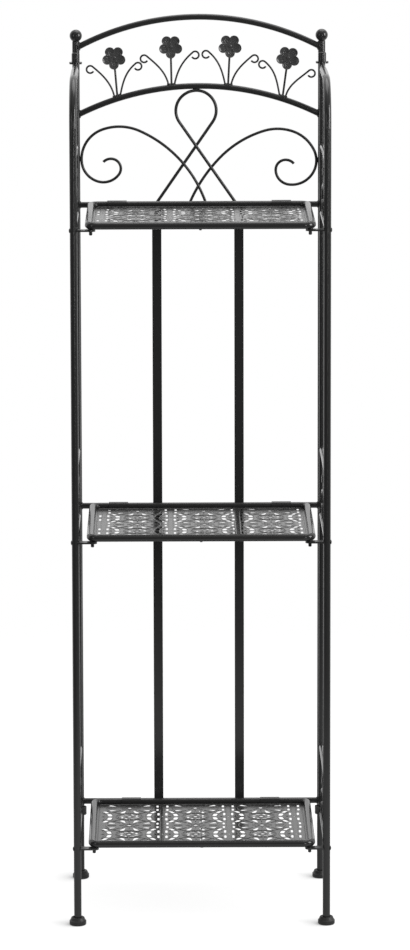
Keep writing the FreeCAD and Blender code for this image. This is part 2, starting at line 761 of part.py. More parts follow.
def shelf_tabs(name, side):
    """Flat tabs on the front post, each with a hole for a shelf's pin."""
    tabs = []
    length, width = size("tab_length"), size("tab_width")
    tab_y = FRONT_Y + (PIN_Y - FRONT_Y) / 2
    tip = HALF_SPACING - POST_R - length
    for tier in TIERS:
        body = new_body(f"shelf_tab_{tier}_{name}")
        outline = sketch_on(body, "XY_Plane", "outline")
        root_x = HALF_SPACING - POST_R * 0.8
        round_x = tip + width / 2
        corners = [Vector(round_x, tab_y - width / 2, 0), Vector(root_x, tab_y - width / 2, 0),
                   Vector(root_x, tab_y + width / 2, 0), Vector(round_x, tab_y + width / 2, 0)]
        for start, end in zip(corners, corners[1:]):
            outline.addGeometry(Part.LineSegment(start, end))
        outline.addGeometry(Part.Arc(corners[3], Vector(tip, tab_y, 0), corners[0]))
        pad(body, outline, "sizes.tab_thickness")
        holes = sketch_on(body, "XY_Plane", "holes")
        holes.addGeometry(Part.Circle(Vector(PIN_X, PIN_Y, 0), Vector(0, 0, 1), size("tab_hole") / 2))
        holes.addGeometry(Part.Circle(Vector(HALF_SPACING, FRONT_Y, 0), Vector(0, 0, 1), POST_R))
        cut_through(body, holes)
        level = TIER_Z[tier] + size("shelf_lift") - RAIL_R - size("tab_gap") - size("tab_thickness")
        body.Placement = Placement(Vector(0, 0, level), Rotation())
        if side < 0:
            flipped = DOC.addObject("Part::Mirroring", f"shelf_tab_{tier}_{name}_mirrored")
            flipped.Source = body
            flipped.Normal = Vector(1, 0, 0)
            body = flipped
        tabs.append(body)
    group(f"shelf_tabs_{name}", tabs)


# ---------------------------------------------------------------- shelves


def clip_outline(first_r, second_r, grow):
    """A belt round two circles, the first at the origin and the second at -X by the hinge's reach."""
    first_r, second_r = first_r + grow, second_r + grow
    slope = math.asin((second_r - first_r) / HINGE_REACH)
    up, along = math.cos(slope), math.sin(slope)
    second = Vector(-HINGE_REACH, 0, 0)
    normal_top, normal_low = Vector(-along, up, 0), Vector(-along, -up, 0)
    first_top, first_low = normal_top * first_r, normal_low * first_r
    second_top, second_low = second + normal_top * second_r, second + normal_low * second_r
    return [
        Part.Arc(first_low, Vector(first_r, 0, 0), first_top),
        Part.LineSegment(first_top, second_top),
        Part.Arc(second_top, second - Vector(second_r, 0, 0), second_low),
        Part.LineSegment(second_low, first_low),
    ]


def shelf_clips(tier):
    """Two straps that hold a shelf's back rail to the crossbar and let it turn."""
    spacing = "clip_spacing_bottom" if tier == "bottom" else "clip_spacing_upper"
    tilt = math.degrees(math.asin(size("shelf_lift") / HINGE_REACH))
    clips = []
    for side in SIDES.values():
        body = new_body(f"clip_{tier}")
        sketch = sketch_on(body, "XZ_Plane", "strap")
        rail_r = RAIL_R + size("clip_clearance")
        for grow in (0, size("clip_thickness")):
            for curve in clip_outline(CROSSBAR_R, rail_r, grow):
                sketch.addGeometry(curve)
        pad(body, sketch, "sizes.clip_length", both_ways=True)
        facing = Rotation(Vector(0, 0, 1), 90) * Rotation(Vector(0, 1, 0), tilt)
        body.Placement = Placement(Vector(0, 0, 0), facing)
        place(body, f"{side} * sizes.{spacing} / 2", "sizes.frame_depth / 2",
              f"sizes.first_tier + {TIERS[tier]} * {TIER_STEP}")
        clips.append(body)
    group(f"shelf_clips_{tier}", clips)


def shelf_frame(tier):
    """A tube bent into a rectangle, with its back rail on the hinge line."""
    corner = size("shelf_corner")
    run_x = RAIL_X - corner
    edges = []
    turn = math.radians(45)
    for sign_x, sign_y, y in ((1, -1, FRONT_Y), (1, 1, HINGE_Y), (-1, 1, HINGE_Y), (-1, -1, FRONT_Y)):
        centre = Vector(sign_x * run_x, y - sign_y * corner, 0)
        along_x = Vector(0, sign_y * corner, 0)
        along_y = Vector(sign_x * corner, 0, 0)
        middle = along_x * math.sin(turn) + along_y * math.cos(turn)
        first, last = (along_x, along_y) if sign_x * sign_y < 0 else (along_y, along_x)
        edges.append(Part.Arc(centre + first, centre + middle, centre + last).toShape())
    loop = []
    for here, after in zip(edges, edges[1:] + edges[:1]):
        loop.append(here)
        loop.append(Part.LineSegment(here.Vertexes[-1].Point, after.Vertexes[0].Point).toShape())
    path = Part.Wire(loop)
    outer = wire_along(path, 2 * RAIL_R)
    inner = wire_along(path, 2 * (RAIL_R - size("rail_wall")))
    item = shaped(f"shelf_frame_{tier}", outer.cut(inner))
    item.Placement = Placement(Vector(0, 0, TIER_Z[tier] + size("shelf_lift")), Rotation())
    part(f"shelf_frame_{tier}", item)


def slot(centre, angle, length, width):
    """A round-ended slot as a closed wire. angle is in degrees from +X."""
    run = max(length - width, 0.1)
    along = Vector(math.cos(math.radians(angle)), math.sin(math.radians(angle)), 0)
    across = Vector(-along.y, along.x, 0) * width / 2
    tail, head = centre - along * run / 2, centre + along * run / 2
    return Part.Wire([
        Part.LineSegment(tail - across, head - across).toShape(),
        Part.Arc(head - across, head + along * width / 2, head + across).toShape(),
        Part.LineSegment(head + across, tail + across).toShape(),
        Part.Arc(tail + across, tail - along * width / 2, tail - across).toShape(),
    ])


def drop(centre, angle, length, width):
    """A teardrop hole: a round end at its head and a small one at its tail."""
    along = Vector(math.cos(math.radians(angle)), math.sin(math.radians(angle)), 0)
    across = Vector(-along.y, along.x, 0)
    big, small = width / 2, width / 6
    head, tail = centre + along * (length / 2 - big), centre - along * (length / 2 - small)
    return Part.Wire([
        Part.LineSegment(tail - across * small, head - across * big).toShape(),
        Part.Arc(head - across * big, head + along * big, head + across * big).toShape(),
        Part.LineSegment(head + across * big, tail + across * small).toShape(),
        Part.Arc(tail + across * small, tail - along * small, tail - across * small).toShape(),
    ])


def disc_hole(centre, diameter):
    return Part.Wire(Part.Circle(centre, Vector(0, 0, 1), diameter / 2).toShape())


def polar(centre, radius, angle):
    turn = math.radians(angle)
    return centre + Vector(math.cos(turn), math.sin(turn), 0) * radius


def pattern_cell(rosette):
    """The holes of one repeat: a rosette, a small wreath, and a strip with slots and bowed leaves."""
    pitch = size("pattern_pitch")
    hub, width = size("hub_width"), size("slot_width")
    holes = [disc_hole(rosette, hub)]
    for half_turn in (0, 180):
        for spoke, away, length in ((-67.5, 0.24, 0.16), (-26.5, 0.29, 0.13),
                                    (26.5, 0.29, 0.13), (67.5, 0.24, 0.16)):
            angle = half_turn + spoke
            holes.append(drop(polar(rosette, pitch * away, angle), angle, pitch * length, size("drop_width")))
    wreath = rosette + Vector(0, pitch / 2, 0)
    holes.append(disc_hole(wreath, hub))
    for leaf in range(8):
        angle = 22.5 + 45 * leaf
        holes.append(slot(polar(wreath, pitch * 0.12, angle), angle + 55, pitch * 0.08, size("wreath_width")))
    strip = rosette + Vector(pitch / 2, 0, 0)
    holes.append(disc_hole(strip + Vector(0, pitch / 2, 0), width))
    for side in (-1, 1):
        for step, away, length in ((-0.4, 0.075, 0.12), (-0.145, 0.06, 0.15),
                                   (0.145, 0.06, 0.15), (0.4, 0.075, 0.12)):
            at = strip + Vector(side * pitch * away, pitch / 2 + step * pitch, 0)
            holes.append(slot(at, 90, pitch * length, width))
    bow = pitch * 0.53
    lens = strip + Vector(0, pitch / 2, 0)
    for side in (-1, 1):
        middle = 0 if side > 0 else 180
        bow_centre = lens + Vector(side * (pitch * 0.21 - bow), 0, 0)
        for step, length in ((-30, 0.12), (-11, 0.15), (11, 0.15), (30, 0.12)):
            angle = middle + step
            holes.append(slot(polar(bow_centre, bow, angle), angle + 90, pitch * length, size("leaf_width")))
    return holes


def sheet_notch(x):
    """Where the sheet is cut back round a hinge clip: (left, right, depth from the hinge line)."""
    half = size("clip_length") / 2 + 1.0
    depth = RAIL_R + size("clip_clearance") + size("clip_thickness") + 0.6
    return x - half, x + half, depth


def shelf_panel(tier):
    """The stamped sheet inside the frame, its corners rounded like the tube's and notched round the clips."""
    half_x = RAIL_X - SHEET_INSET
    front = FRONT_Y + SHEET_INSET
    back = HINGE_Y - SHEET_INSET
    spacing = size("clip_spacing_bottom" if tier == "bottom" else "clip_spacing_upper")
    outline = [Vector(-half_x, front, 0), Vector(half_x, front, 0), Vector(half_x, back, 0)]
    for clip_x in (spacing / 2, -spacing / 2):
        left, right, depth = sheet_notch(clip_x)
        outline += [Vector(right, back, 0), Vector(right, HINGE_Y - depth, 0),
                    Vector(left, HINGE_Y - depth, 0), Vector(left, back, 0)]
    outline.append(Vector(-half_x, back, 0))
    plate = Part.makePolygon(outline + outline[:1])

    flip = -1 if tier == "bottom" else 1
    shift = size("strip_shift_bottom" if tier == "bottom" else "strip_shift_upper")
    pitch = size("pattern_pitch")
    margin = size("sheet_margin")
    notch_depth = sheet_notch(0)[2]
    holes = []
    reach = int(half_x // pitch) + 2
    for column in range(-reach, reach + 1):
        for row in range(-reach, reach + 1):
            x = flip * (shift + pitch / 2) + column * pitch
            rosette = Vector(x, size("rosette_row") + row * pitch, 0)
            for hole in pattern_cell(rosette):
                box = hole.BoundBox
                inside_x = box.XMin > -half_x + margin and box.XMax < half_x - margin
                inside_y = box.YMin > front + margin and box.YMax < HINGE_Y - notch_depth - margin / 2
                if inside_x and inside_y:
                    holes.append(hole)
    face = Part.makeFace([plate] + holes, "Part::FaceMakerBullseye")
    sheet = face.extrude(Vector(0, 0, size("sheet_thickness")))
    corners = [edge for edge in sheet.Edges
               if edge.BoundBox.ZLength > size("sheet_thickness") / 2 and edge.BoundBox.XLength < half_x
               and min(abs(edge.BoundBox.XMin + half_x), abs(edge.BoundBox.XMax - half_x)) < 1e-3]
    item = shaped(f"shelf_panel_{tier}", sheet.makeFillet(size("shelf_corner") - SHEET_INSET, corners))
    level = TIER_Z[tier] + size("shelf_lift") - size("sheet_drop") - size("sheet_thickness") / 2
    item.Placement = Placement(Vector(0, 0, level), Rotation())
    part(f"shelf_panel_{tier}", item)


def shelf_rib(tier):
    """A flat bar on edge under the middle of the sheet, from rail to rail."""
    back = "sizes.frame_depth / 2 - sqrt((sizes.crossbar_diameter / 2 + sizes.rail_gap + "
    back += "sizes.rail_diameter / 2)^2 - sizes.shelf_lift^2)"
    rail = "(sizes.rail_diameter / 2 + sizes.fit_gap)"
    rib = DOC.addObject("Part::Box", f"shelf_rib_{tier}")
    rib.setExpression("Length", "sizes.rib_width")
    rib.setExpression("Width", f"{back} + sizes.frame_depth / 2 - 2 * {rail}")
    rib.setExpression("Height", "sizes.rib_height")
    place(rib, "-sizes.rib_width / 2", f"-sizes.frame_depth / 2 + {rail}",
          f"sizes.first_tier + {TIERS[tier]} * {TIER_STEP} + sizes.shelf_lift"
          " - sizes.sheet_drop - sizes.sheet_thickness / 2 - sizes.rib_height - sizes.fit_gap")
    part(f"shelf_rib_{tier}", rib)


def shelf_pins(tier):
    """The two pins under the front corners that drop into the tabs."""
    radius = size("pin_diameter") / 2
    length = size("pin_length")
    chamfer = radius / 3
    pins = []
    for side in SIDES.values():
        outline = [(0, 0), (radius, 0), (radius, chamfer - length), (radius - chamfer, -length), (0, -length)]
        pin = turned(f"shelf_pin_{tier}", outline)
        pin.Placement = Placement(
            Vector(side * PIN_X, PIN_Y, TIER_Z[tier] + size("shelf_lift") - RAIL_R), Rotation())
        pins.append(pin)
    group(f"shelf_pins_{tier}", pins)


# ---------------------------------------------------------------- build, check and write


def check_document():
    """Every object is up to date, and every sub-part has a whole, valid shape."""
    DOC.recompute()
    bad = [item.Label for item in DOC.Objects if "Invalid" in item.State or "Error" in item.State]
    for item in PARTS:
        shape = item.Shape
        if shape.isNull() or not shape.isValid() or not shape.Solids:
            bad.append(item.Label)
    if bad:
        raise RuntimeError("these failed: " + ", ".join(sorted(set(bad))))


back_frame()
teardrop_loop()
corner_scrolls()
flowers()
for side_name, side_sign in SIDES.items():
    front_post(f"front_post_{side_name}", side_sign)
    stile(f"side_stile_{side_name}", side_sign)
    rungs(side_name, side_sign)
    side_scrolls(side_name, side_sign)
    shelf_tabs(side_name, side_sign)
pintles()
for shelf_tier in TIERS:
    shelf_clips(shelf_tier)
    shelf_frame(shelf_tier)
    shelf_panel(shelf_tier)
    shelf_rib(shelf_tier)
    shelf_pins(shelf_tier)

check_document()
os.makedirs("parts", exist_ok=True)
for item in PARTS:
    item.Shape.exportStep(f"parts/{item.Label}.step")
print(len(PARTS), "sub-parts written")
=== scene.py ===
"""Looks of the folding bakers rack: black powder coat, pierced and pressed shelves, dished flowers.

Metres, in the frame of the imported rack: X to the right, the front faces -Y, +Z up, origin on the floor.
"""
import math

import bmesh
import bpy
from mathutils import Matrix, Vector


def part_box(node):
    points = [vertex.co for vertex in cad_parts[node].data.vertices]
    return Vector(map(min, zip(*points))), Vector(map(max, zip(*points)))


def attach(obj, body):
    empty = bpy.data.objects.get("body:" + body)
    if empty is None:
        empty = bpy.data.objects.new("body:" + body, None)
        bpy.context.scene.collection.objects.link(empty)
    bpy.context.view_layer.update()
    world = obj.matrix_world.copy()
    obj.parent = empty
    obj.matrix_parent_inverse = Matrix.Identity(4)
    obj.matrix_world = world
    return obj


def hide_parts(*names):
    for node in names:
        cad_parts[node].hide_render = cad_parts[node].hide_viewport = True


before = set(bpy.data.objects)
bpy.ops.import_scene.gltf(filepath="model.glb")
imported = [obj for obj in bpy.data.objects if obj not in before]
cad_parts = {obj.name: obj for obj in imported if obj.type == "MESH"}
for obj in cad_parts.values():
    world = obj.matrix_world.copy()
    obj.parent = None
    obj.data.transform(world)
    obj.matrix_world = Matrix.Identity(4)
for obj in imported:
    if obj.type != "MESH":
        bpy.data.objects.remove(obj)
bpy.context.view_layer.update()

# ---------------------------------------------------------------- sizes of the rack, read from its nodes


def corners(name):
    """A node's lowest and highest corners."""
    low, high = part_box(name)
    return Vector(low), Vector(high)


def middle(name):
    low, high = corners(name)
    return (low + high) / 2


def extent(name):
    low, high = corners(name)
    return high - low


SIDES = {"left": -1, "right": 1}
TIERS = ("bottom", "middle", "top")

POST_X = middle("back_post_right").x
POST_R = extent("back_post_right").x / 2
BACK_Y = middle("back_post_right").y
FRONT_Y = middle("foot_front_right").y
HINGE_LINE_Y = middle("side_stile_right").y
COLLAR_R = extent("side_stile_right").x / 2
RUNG_R = extent("lower_rungs_right").x / 2
CROSSBAR_R = extent("crossbar_top").z / 2
ARCH_R = extent("top_arch").y / 2
TIER_Z = {tier: middle(f"crossbar_{tier}").z for tier in TIERS}

# Sizes that no node's box gives. Rungs rise from the middle of their tier's crossbar, arches from their ends.
STILE_R = 0.00475
LOOP_WIRE_R = 0.0028
SCROLL_WIRE_R = 0.00255
RUNG_RISE = {"upper": 0.109, "lower": -0.011}
ARCH_RISE = {"top_arch": 0.0525, "lower_arch": 0.050}

# The stamped pattern of the shelves, as the panels are pierced: its repeat, and one rosette of each shelf.
PITCH = 0.120
ROSETTE_AT = {"bottom": (-0.0103, -0.0165), "middle": (0.0067, -0.0165), "top": (0.0067, -0.0165)}

FLOWERS = range(1, 5)

# ---------------------------------------------------------------- small helpers


def lin(value):
    """A display grey from 0 to 255 as linear light."""
    share = value / 255
    return share / 12.92 if share <= 0.04045 else ((share + 0.055) / 1.055) ** 2.4


def grey(value, warm=0.0):
    """A display grey as a colour, warmed by a share."""
    level = lin(value)
    return (level * (1 + warm), level, level * (1 - warm), 1)


def add_object(name, mesh):
    made = bpy.data.objects.new(name, mesh)
    bpy.context.scene.collection.objects.link(made)
    return made


def smooth(mesh, angle=35):
    """Shade a mesh smooth, but keep creases sharper than this angle."""
    mesh.polygons.foreach_set("use_smooth", [True] * len(mesh.polygons))
    shape = bmesh.new()
    shape.from_mesh(mesh)
    for edge in shape.edges:
        if len(edge.link_faces) == 2 and edge.calc_face_angle(0) > math.radians(angle):
            edge.smooth = False
    shape.to_mesh(mesh)
    shape.free()


def centroid(name):
    """The middle of a node's faces, each counted by its area."""
    total, weight = Vector(), 0.0
    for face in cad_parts[name].data.polygons:
        total += face.center * face.area
        weight += face.area
    return total / weight


# ---------------------------------------------------------------- node helpers


def node(tree, kind, inputs=None, **settings):
    """Add a node, set its properties, and fill its inputs with values or links."""
    made = tree.nodes.new(kind)
    for name, value in settings.items():
        setattr(made, name, value)
    for name, value in (inputs or {}).items():
        if isinstance(value, bpy.types.NodeSocket):
            tree.links.new(value, made.inputs[name])
        else:
            made.inputs[name].default_value = value
    return made


def maths(tree, operation, first, second=0.0, clamp=False):
    made = node(tree, "ShaderNodeMath", {0: first, 1: second}, operation=operation, use_clamp=clamp)
    return made.outputs[0]


def new_group(name, kind, inputs, outputs):
    """A node group with named sockets, and its inlet and outlet."""
    tree = bpy.data.node_groups.new(name, kind)
    for label, socket_type, value in inputs:
        socket = tree.interface.new_socket(label, in_out="INPUT", socket_type=socket_type)
        if value is not None:
            socket.default_value = value
    for label, socket_type in outputs:
        tree.interface.new_socket(label, in_out="OUTPUT", socket_type=socket_type)
    return tree, tree.nodes.new("NodeGroupInput"), tree.nodes.new("NodeGroupOutput")


FLOAT, VECTOR, GEOMETRY = "NodeSocketFloat", "NodeSocketVector", "NodeSocketGeometry"
MATERIAL = "NodeSocketMaterial"
FULL_TURN = 6.2832

# ---------------------------------------------------------------- finishes

RUB_LIFT = 22
DUST_WARMTH = 0.03
DUST_DULLS = 0.5


def coat_grain_group():
    """Orange peel of a sprayed and baked coat: a height, and a roughness that drifts a little."""
    tree, inlet, outlet = new_group(
        "coat_grain", "ShaderNodeTree",
        [("Place", VECTOR, None), ("Peel Size", FLOAT, 0.0016), ("Roughness", FLOAT, 0.3),
         ("Drift", FLOAT, 0.05)],
        [("Height", FLOAT), ("Roughness", FLOAT)])
    scale = maths(tree, "DIVIDE", 1.0, inlet.outputs["Peel Size"])
    peel = node(tree, "ShaderNodeTexNoise",
                {"Vector": inlet.outputs["Place"], "Scale": scale, "Detail": 2.0, "Roughness": 0.45})
    cloud = node(tree, "ShaderNodeTexNoise",
                 {"Vector": inlet.outputs["Place"], "Scale": 24.0, "Detail": 4.0, "Roughness": 0.6})
    uneven = maths(tree, "SUBTRACT", cloud.outputs["Fac"], 0.5)
    drift = maths(tree, "MULTIPLY", uneven, inlet.outputs["Drift"])
    tree.links.new(peel.outputs["Fac"], outlet.inputs["Height"])
    tree.links.new(maths(tree, "ADD", inlet.outputs["Roughness"], maths(tree, "MULTIPLY", drift, 2.0)),
                   outlet.inputs["Roughness"])
    return tree


def handling_group():
    """Faint dust on what faces up, and sparse rub marks, as one mask each."""
    tree, inlet, outlet = new_group(
        "handling", "ShaderNodeTree",
        [("Place", VECTOR, None), ("Dust", FLOAT, 0.3), ("Rubs", FLOAT, 0.2)],
        [("Dust", FLOAT), ("Rubs", FLOAT)])
    normal = node(tree, "ShaderNodeNewGeometry").outputs["Normal"]
    facing = node(tree, "ShaderNodeSeparateXYZ", {0: normal})
    up = maths(tree, "MAXIMUM", facing.outputs["Z"], 0.0)
    settle = node(tree, "ShaderNodeTexNoise",
                  {"Vector": inlet.outputs["Place"], "Scale": 60.0, "Detail": 5.0, "Roughness": 0.65})
    settled = maths(tree, "MULTIPLY", up, settle.outputs["Fac"])
    dust = maths(tree, "MULTIPLY", settled, inlet.outputs["Dust"])
    stretch = node(tree, "ShaderNodeMapping",
                   {"Vector": inlet.outputs["Place"], "Scale": (220.0, 220.0, 35.0)})
    marks = node(tree, "ShaderNodeTexNoise",
                 {"Vector": stretch.outputs[0], "Scale": 1.0, "Detail": 3.0, "Roughness": 0.7})
    sparse = node(tree, "ShaderNodeMapRange",
                  {"Value": marks.outputs["Fac"], "From Min": 0.66, "From Max": 0.8, "To Min": 0.0,
                   "To Max": 1.0})
    rubs = maths(tree, "MULTIPLY", sparse.outputs[0], inlet.outputs["Rubs"])
    tree.links.new(dust, outlet.inputs["Dust"])
    tree.links.new(rubs, outlet.inputs["Rubs"])
    return tree


GRAIN = coat_grain_group()
HANDLING = handling_group()


def group_in(tree, group, **inputs):
    """Place a node group and fill its inputs, whose names have _ for a space."""
    placed = tree.nodes.new("ShaderNodeGroup")
    placed.node_tree = group
    for name, value in inputs.items():
        socket = placed.inputs[name.replace("_", " ")]
        if isinstance(value, bpy.types.NodeSocket):
            tree.links.new(value, socket)
        else:
            socket.default_value = value
    return placed


def blank_material(name):
    """A material with one Principled shader, and Object coordinates for its patterns."""
    material = bpy.data.materials.new(name)
    material.use_nodes = True
    tree = material.node_tree
    tree.nodes.clear()
    outlet = tree.nodes.new("ShaderNodeOutputMaterial")
    surface = tree.nodes.new("ShaderNodeBsdfPrincipled")
    tree.links.new(surface.outputs[0], outlet.inputs["Surface"])
    place = tree.nodes.new("ShaderNodeTexCoord").outputs["Object"]
    return material, tree, surface, place


def coated(name, shade=30, dust_shade=92, roughness=0.3, drift=0.05, peel=0.0016, peel_depth=0.00003,
           dust=0.3, rubs=0.2):
    """A black coat: grain in the gloss, faint dust, and rub marks a little paler and duller."""
    material, tree, surface, place = blank_material(name)
    grain = group_in(tree, GRAIN, Place=place, Peel_Size=peel, Roughness=roughness, Drift=drift)
    handled = group_in(tree, HANDLING, Place=place, Dust=dust, Rubs=rubs)
    dusty = node(tree, "ShaderNodeMix",
                 {0: handled.outputs["Dust"], 6: grey(shade), 7: grey(dust_shade, DUST_WARMTH)},
                 data_type="RGBA")
    rubbed = node(tree, "ShaderNodeMix",
                  {0: handled.outputs["Rubs"], 6: dusty.outputs[2], 7: grey(shade + RUB_LIFT)},
                  data_type="RGBA")
    tree.links.new(rubbed.outputs[2], surface.inputs["Base Color"])
    duller = maths(tree, "ADD", grain.outputs["Roughness"],
                   maths(tree, "MULTIPLY", handled.outputs["Dust"], DUST_DULLS), clamp=True)
    tree.links.new(duller, surface.inputs["Roughness"])
    bump = node(tree, "ShaderNodeBump",
                {"Height": grain.outputs["Height"], "Strength": 1.0, "Distance": peel_depth})
    tree.links.new(bump.outputs[0], surface.inputs["Normal"])
    surface.inputs["Specular IOR Level"].default_value = 0.5
    surface.inputs["IOR"].default_value = 1.5
    return material


TUBE_COAT = coated("tube_coat", shade=38, roughness=0.17, drift=0.02, peel_depth=0.000001, dust=0.1,
                   rubs=0.04)
WIRE_COAT = coated("wire_coat", shade=38, roughness=0.26, drift=0.03, peel=0.0012, peel_depth=0.000002,
                   dust=0.12, rubs=0.05)
SHEET_COAT = coated("sheet_coat", shade=44, roughness=0.15, drift=0.03, peel_depth=0.000004, dust=0.25,
                    rubs=0.1)
# The flowers wear the same black coat as the tubes, but painted lighter (62 against 38): a painted highlight
# for the light their petals catch.
PAINTED_LIGHT_FLOWER_COAT = coated("flower_coat", shade=62, roughness=0.22, drift=0.04, peel=0.0011, peel_depth=0.00001,
                     dust=0.2, rubs=0.1)
WELD_COAT = coated("weld_coat", shade=24, roughness=0.38, peel=0.0006, peel_depth=0.00006, dust=0.2,
                   rubs=0.1)
PIN_COAT = coated("pin_coat", shade=30, roughness=0.25, peel=0.0009, dust=0.15, rubs=0.5)
FOOT_PLASTIC = coated("foot_plastic", shade=28, roughness=0.42, drift=0.08, peel=0.0007, dust=0.35)


def dress_nodes():
    """Each piece of the rack gets the coat of its stock: tube, wire, sheet, pin or moulded foot."""
    for name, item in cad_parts.items():
        if name.startswith("foot_"):
            coat = FOOT_PLASTIC
        elif name.startswith(("shelf_pins", "hinge_pins")):
            coat = PIN_COAT
        elif name.startswith("shelf_panel"):
            coat = SHEET_COAT
        elif name.startswith(("scroll_", "teardrop", "side_scrolls", "tendril", "flower_stem")):
            coat = WIRE_COAT
        else:
            coat = TUBE_COAT
        item.data.materials.clear()
        item.data.materials.append(coat)


dress_nodes()

# ---------------------------------------------------------------- running a geometry tree


def grown(name, start, tree, **values):
    """The mesh that a geometry tree makes of a starting mesh, as an object at the origin."""
    made = add_object(name, start)
    modifier = made.modifiers.new("grow", "NODES")
    modifier.node_group = tree
    for item in tree.interface.items_tree:
        key = item.name.replace(" ", "_")
        if item.in_out == "INPUT" and key in values:
            modifier[item.identifier] = values[key]
    graph = bpy.context.evaluated_depsgraph_get()
    result = bpy.data.meshes.new_from_object(made.evaluated_get(graph), depsgraph=graph)
    result.name = name
    made.modifiers.remove(modifier)
    made.data = result
    return made


def finish_tree(tree, outlet, geometry, material):
    """End a tree with its instances made real and its material set."""
    real = node(tree, "GeometryNodeRealizeInstances", {"Geometry": geometry})
    dressed = node(tree, "GeometryNodeSetMaterial", {"Geometry": real.outputs[0], "Material": material})
    tree.links.new(dressed.outputs[0], outlet.inputs["Geometry"])


# ---------------------------------------------------------------- flowers

PETALS = 5
DISC_SIDES = 32
BOWL_POWER = 2.6
ROLLED_EDGE_R = 0.00065
WEB_SHARE = 0.66
EYE_HEIGHT_SHARE = 0.55
FLOWER_SINK = 0.0005
FLOWER_LEAN = {4: 8.0}


def dished_disc(tree, radius, sheet, rim, vein_depth, vein_pitch):
    """A disc of sheet whose rim curls up, with shallow veins along its own X."""
    disc = node(tree, "GeometryNodeMeshCylinder",
                {"Vertices": DISC_SIDES, "Side Segments": 1, "Fill Segments": 8, "Radius": radius,
                 "Depth": sheet})
    place = node(tree, "GeometryNodeInputPosition").outputs[0]
    split = node(tree, "ShaderNodeSeparateXYZ", {0: place})
    flat = node(tree, "ShaderNodeCombineXYZ", {0: split.outputs[0], 1: split.outputs[1]})
    away = node(tree, "ShaderNodeVectorMath", {0: flat.outputs[0]}, operation="LENGTH").outputs["Value"]
    share = maths(tree, "DIVIDE", away, radius)
    bowl = maths(tree, "MULTIPLY", maths(tree, "POWER", share, BOWL_POWER), rim)
    across = maths(tree, "MULTIPLY", split.outputs[1], FULL_TURN)
    wave = maths(tree, "COSINE", maths(tree, "DIVIDE", across, vein_pitch))
    fade = maths(tree, "SUBTRACT", 1.0, share, clamp=True)
    vein = maths(tree, "MULTIPLY", maths(tree, "MULTIPLY", wave, fade), vein_depth)
    lift = node(tree, "ShaderNodeCombineXYZ", {2: maths(tree, "ADD", bowl, vein)})
    dish = node(tree, "GeometryNodeSetPosition", {"Geometry": disc.outputs[0], "Offset": lift.outputs[0]})
    edge = node(tree, "GeometryNodeCurvePrimitiveCircle", {"Resolution": DISC_SIDES, "Radius": radius},
                mode="RADIUS")
    roll = node(tree, "GeometryNodeCurvePrimitiveCircle", {"Resolution": 10, "Radius": ROLLED_EDGE_R},
                mode="RADIUS")
    ring = node(tree, "GeometryNodeCurveToMesh",
                {"Curve": edge.outputs[0], "Profile Curve": roll.outputs[0]})
    raised = node(tree, "GeometryNodeTransform", {
        "Geometry": ring.outputs[0],
        "Translation": node(tree, "ShaderNodeCombineXYZ", {2: rim}).outputs[0]})
    petal = tree.nodes.new("GeometryNodeJoinGeometry")
    tree.links.new(dish.outputs[0], petal.inputs[0])
    tree.links.new(raised.outputs[0], petal.inputs[0])
    return petal


def flower_tree():
    """A stamped flower facing +Z: five dished petals, a web that joins them, and a round eye."""
    tree, inlet, outlet = new_group(
        "stamped_flower", "GeometryNodeTree",
        [("Geometry", GEOMETRY, None), ("Petal Radius", FLOAT, 0.0082), ("Petal Circle", FLOAT, 0.013),
         ("Sheet", FLOAT, 0.001), ("Rim", FLOAT, 0.0016), ("Tilt", FLOAT, 0.2),
         ("Vein Depth", FLOAT, 0.0005), ("Vein Pitch", FLOAT, 0.0032), ("Eye Radius", FLOAT, 0.0036),
         ("Material", MATERIAL, None)],
        [("Geometry", GEOMETRY)])
    sizes = inlet.outputs
    petal = dished_disc(tree, sizes["Petal Radius"], sizes["Sheet"], sizes["Rim"], sizes["Vein Depth"],
                        sizes["Vein Pitch"])
    index = node(tree, "GeometryNodeInputIndex").outputs[0]
    fifth = maths(tree, "MULTIPLY", index, math.tau / PETALS)
    angle = maths(tree, "SUBTRACT", fifth, math.tau / 4)
    spot = node(tree, "ShaderNodeCombineXYZ",
                {0: maths(tree, "COSINE", angle), 1: maths(tree, "SINE", angle)})
    spread = node(tree, "ShaderNodeVectorMath", {0: spot.outputs[0], "Scale": sizes["Petal Circle"]},
                  operation="SCALE")
    points = node(tree, "GeometryNodePoints", {"Count": PETALS, "Position": spread.outputs[0]})
    turn = node(tree, "ShaderNodeCombineXYZ", {1: maths(tree, "MULTIPLY", sizes["Tilt"], -1.0), 2: angle})
    petals = node(tree, "GeometryNodeInstanceOnPoints",
                  {"Points": points.outputs[0], "Instance": petal.outputs[0], "Rotation": turn.outputs[0]})
    web_radius = maths(tree, "MULTIPLY", sizes["Petal Circle"], WEB_SHARE)
    web = node(tree, "GeometryNodeMeshCylinder",
               {"Vertices": DISC_SIDES, "Side Segments": 1, "Fill Segments": 2, "Radius": web_radius,
                "Depth": sizes["Sheet"]})
    ball = node(tree, "GeometryNodeMeshUVSphere",
                {"Segments": 24, "Rings": 12, "Radius": sizes["Eye Radius"]})
    eye = node(tree, "GeometryNodeTransform",
               {"Geometry": ball.outputs[0], "Scale": (1.0, 1.0, EYE_HEIGHT_SHARE)})
    whole = tree.nodes.new("GeometryNodeJoinGeometry")
    for made in (petals, web, eye):
        tree.links.new(made.outputs[0], whole.inputs[0])
    finish_tree(tree, outlet, whole.outputs[0], sizes["Material"])
    return tree


def point_mesh(name, points):
    mesh = bpy.data.meshes.new(name)
    mesh.from_pydata([tuple(point) for point in points], [], [])
    return mesh


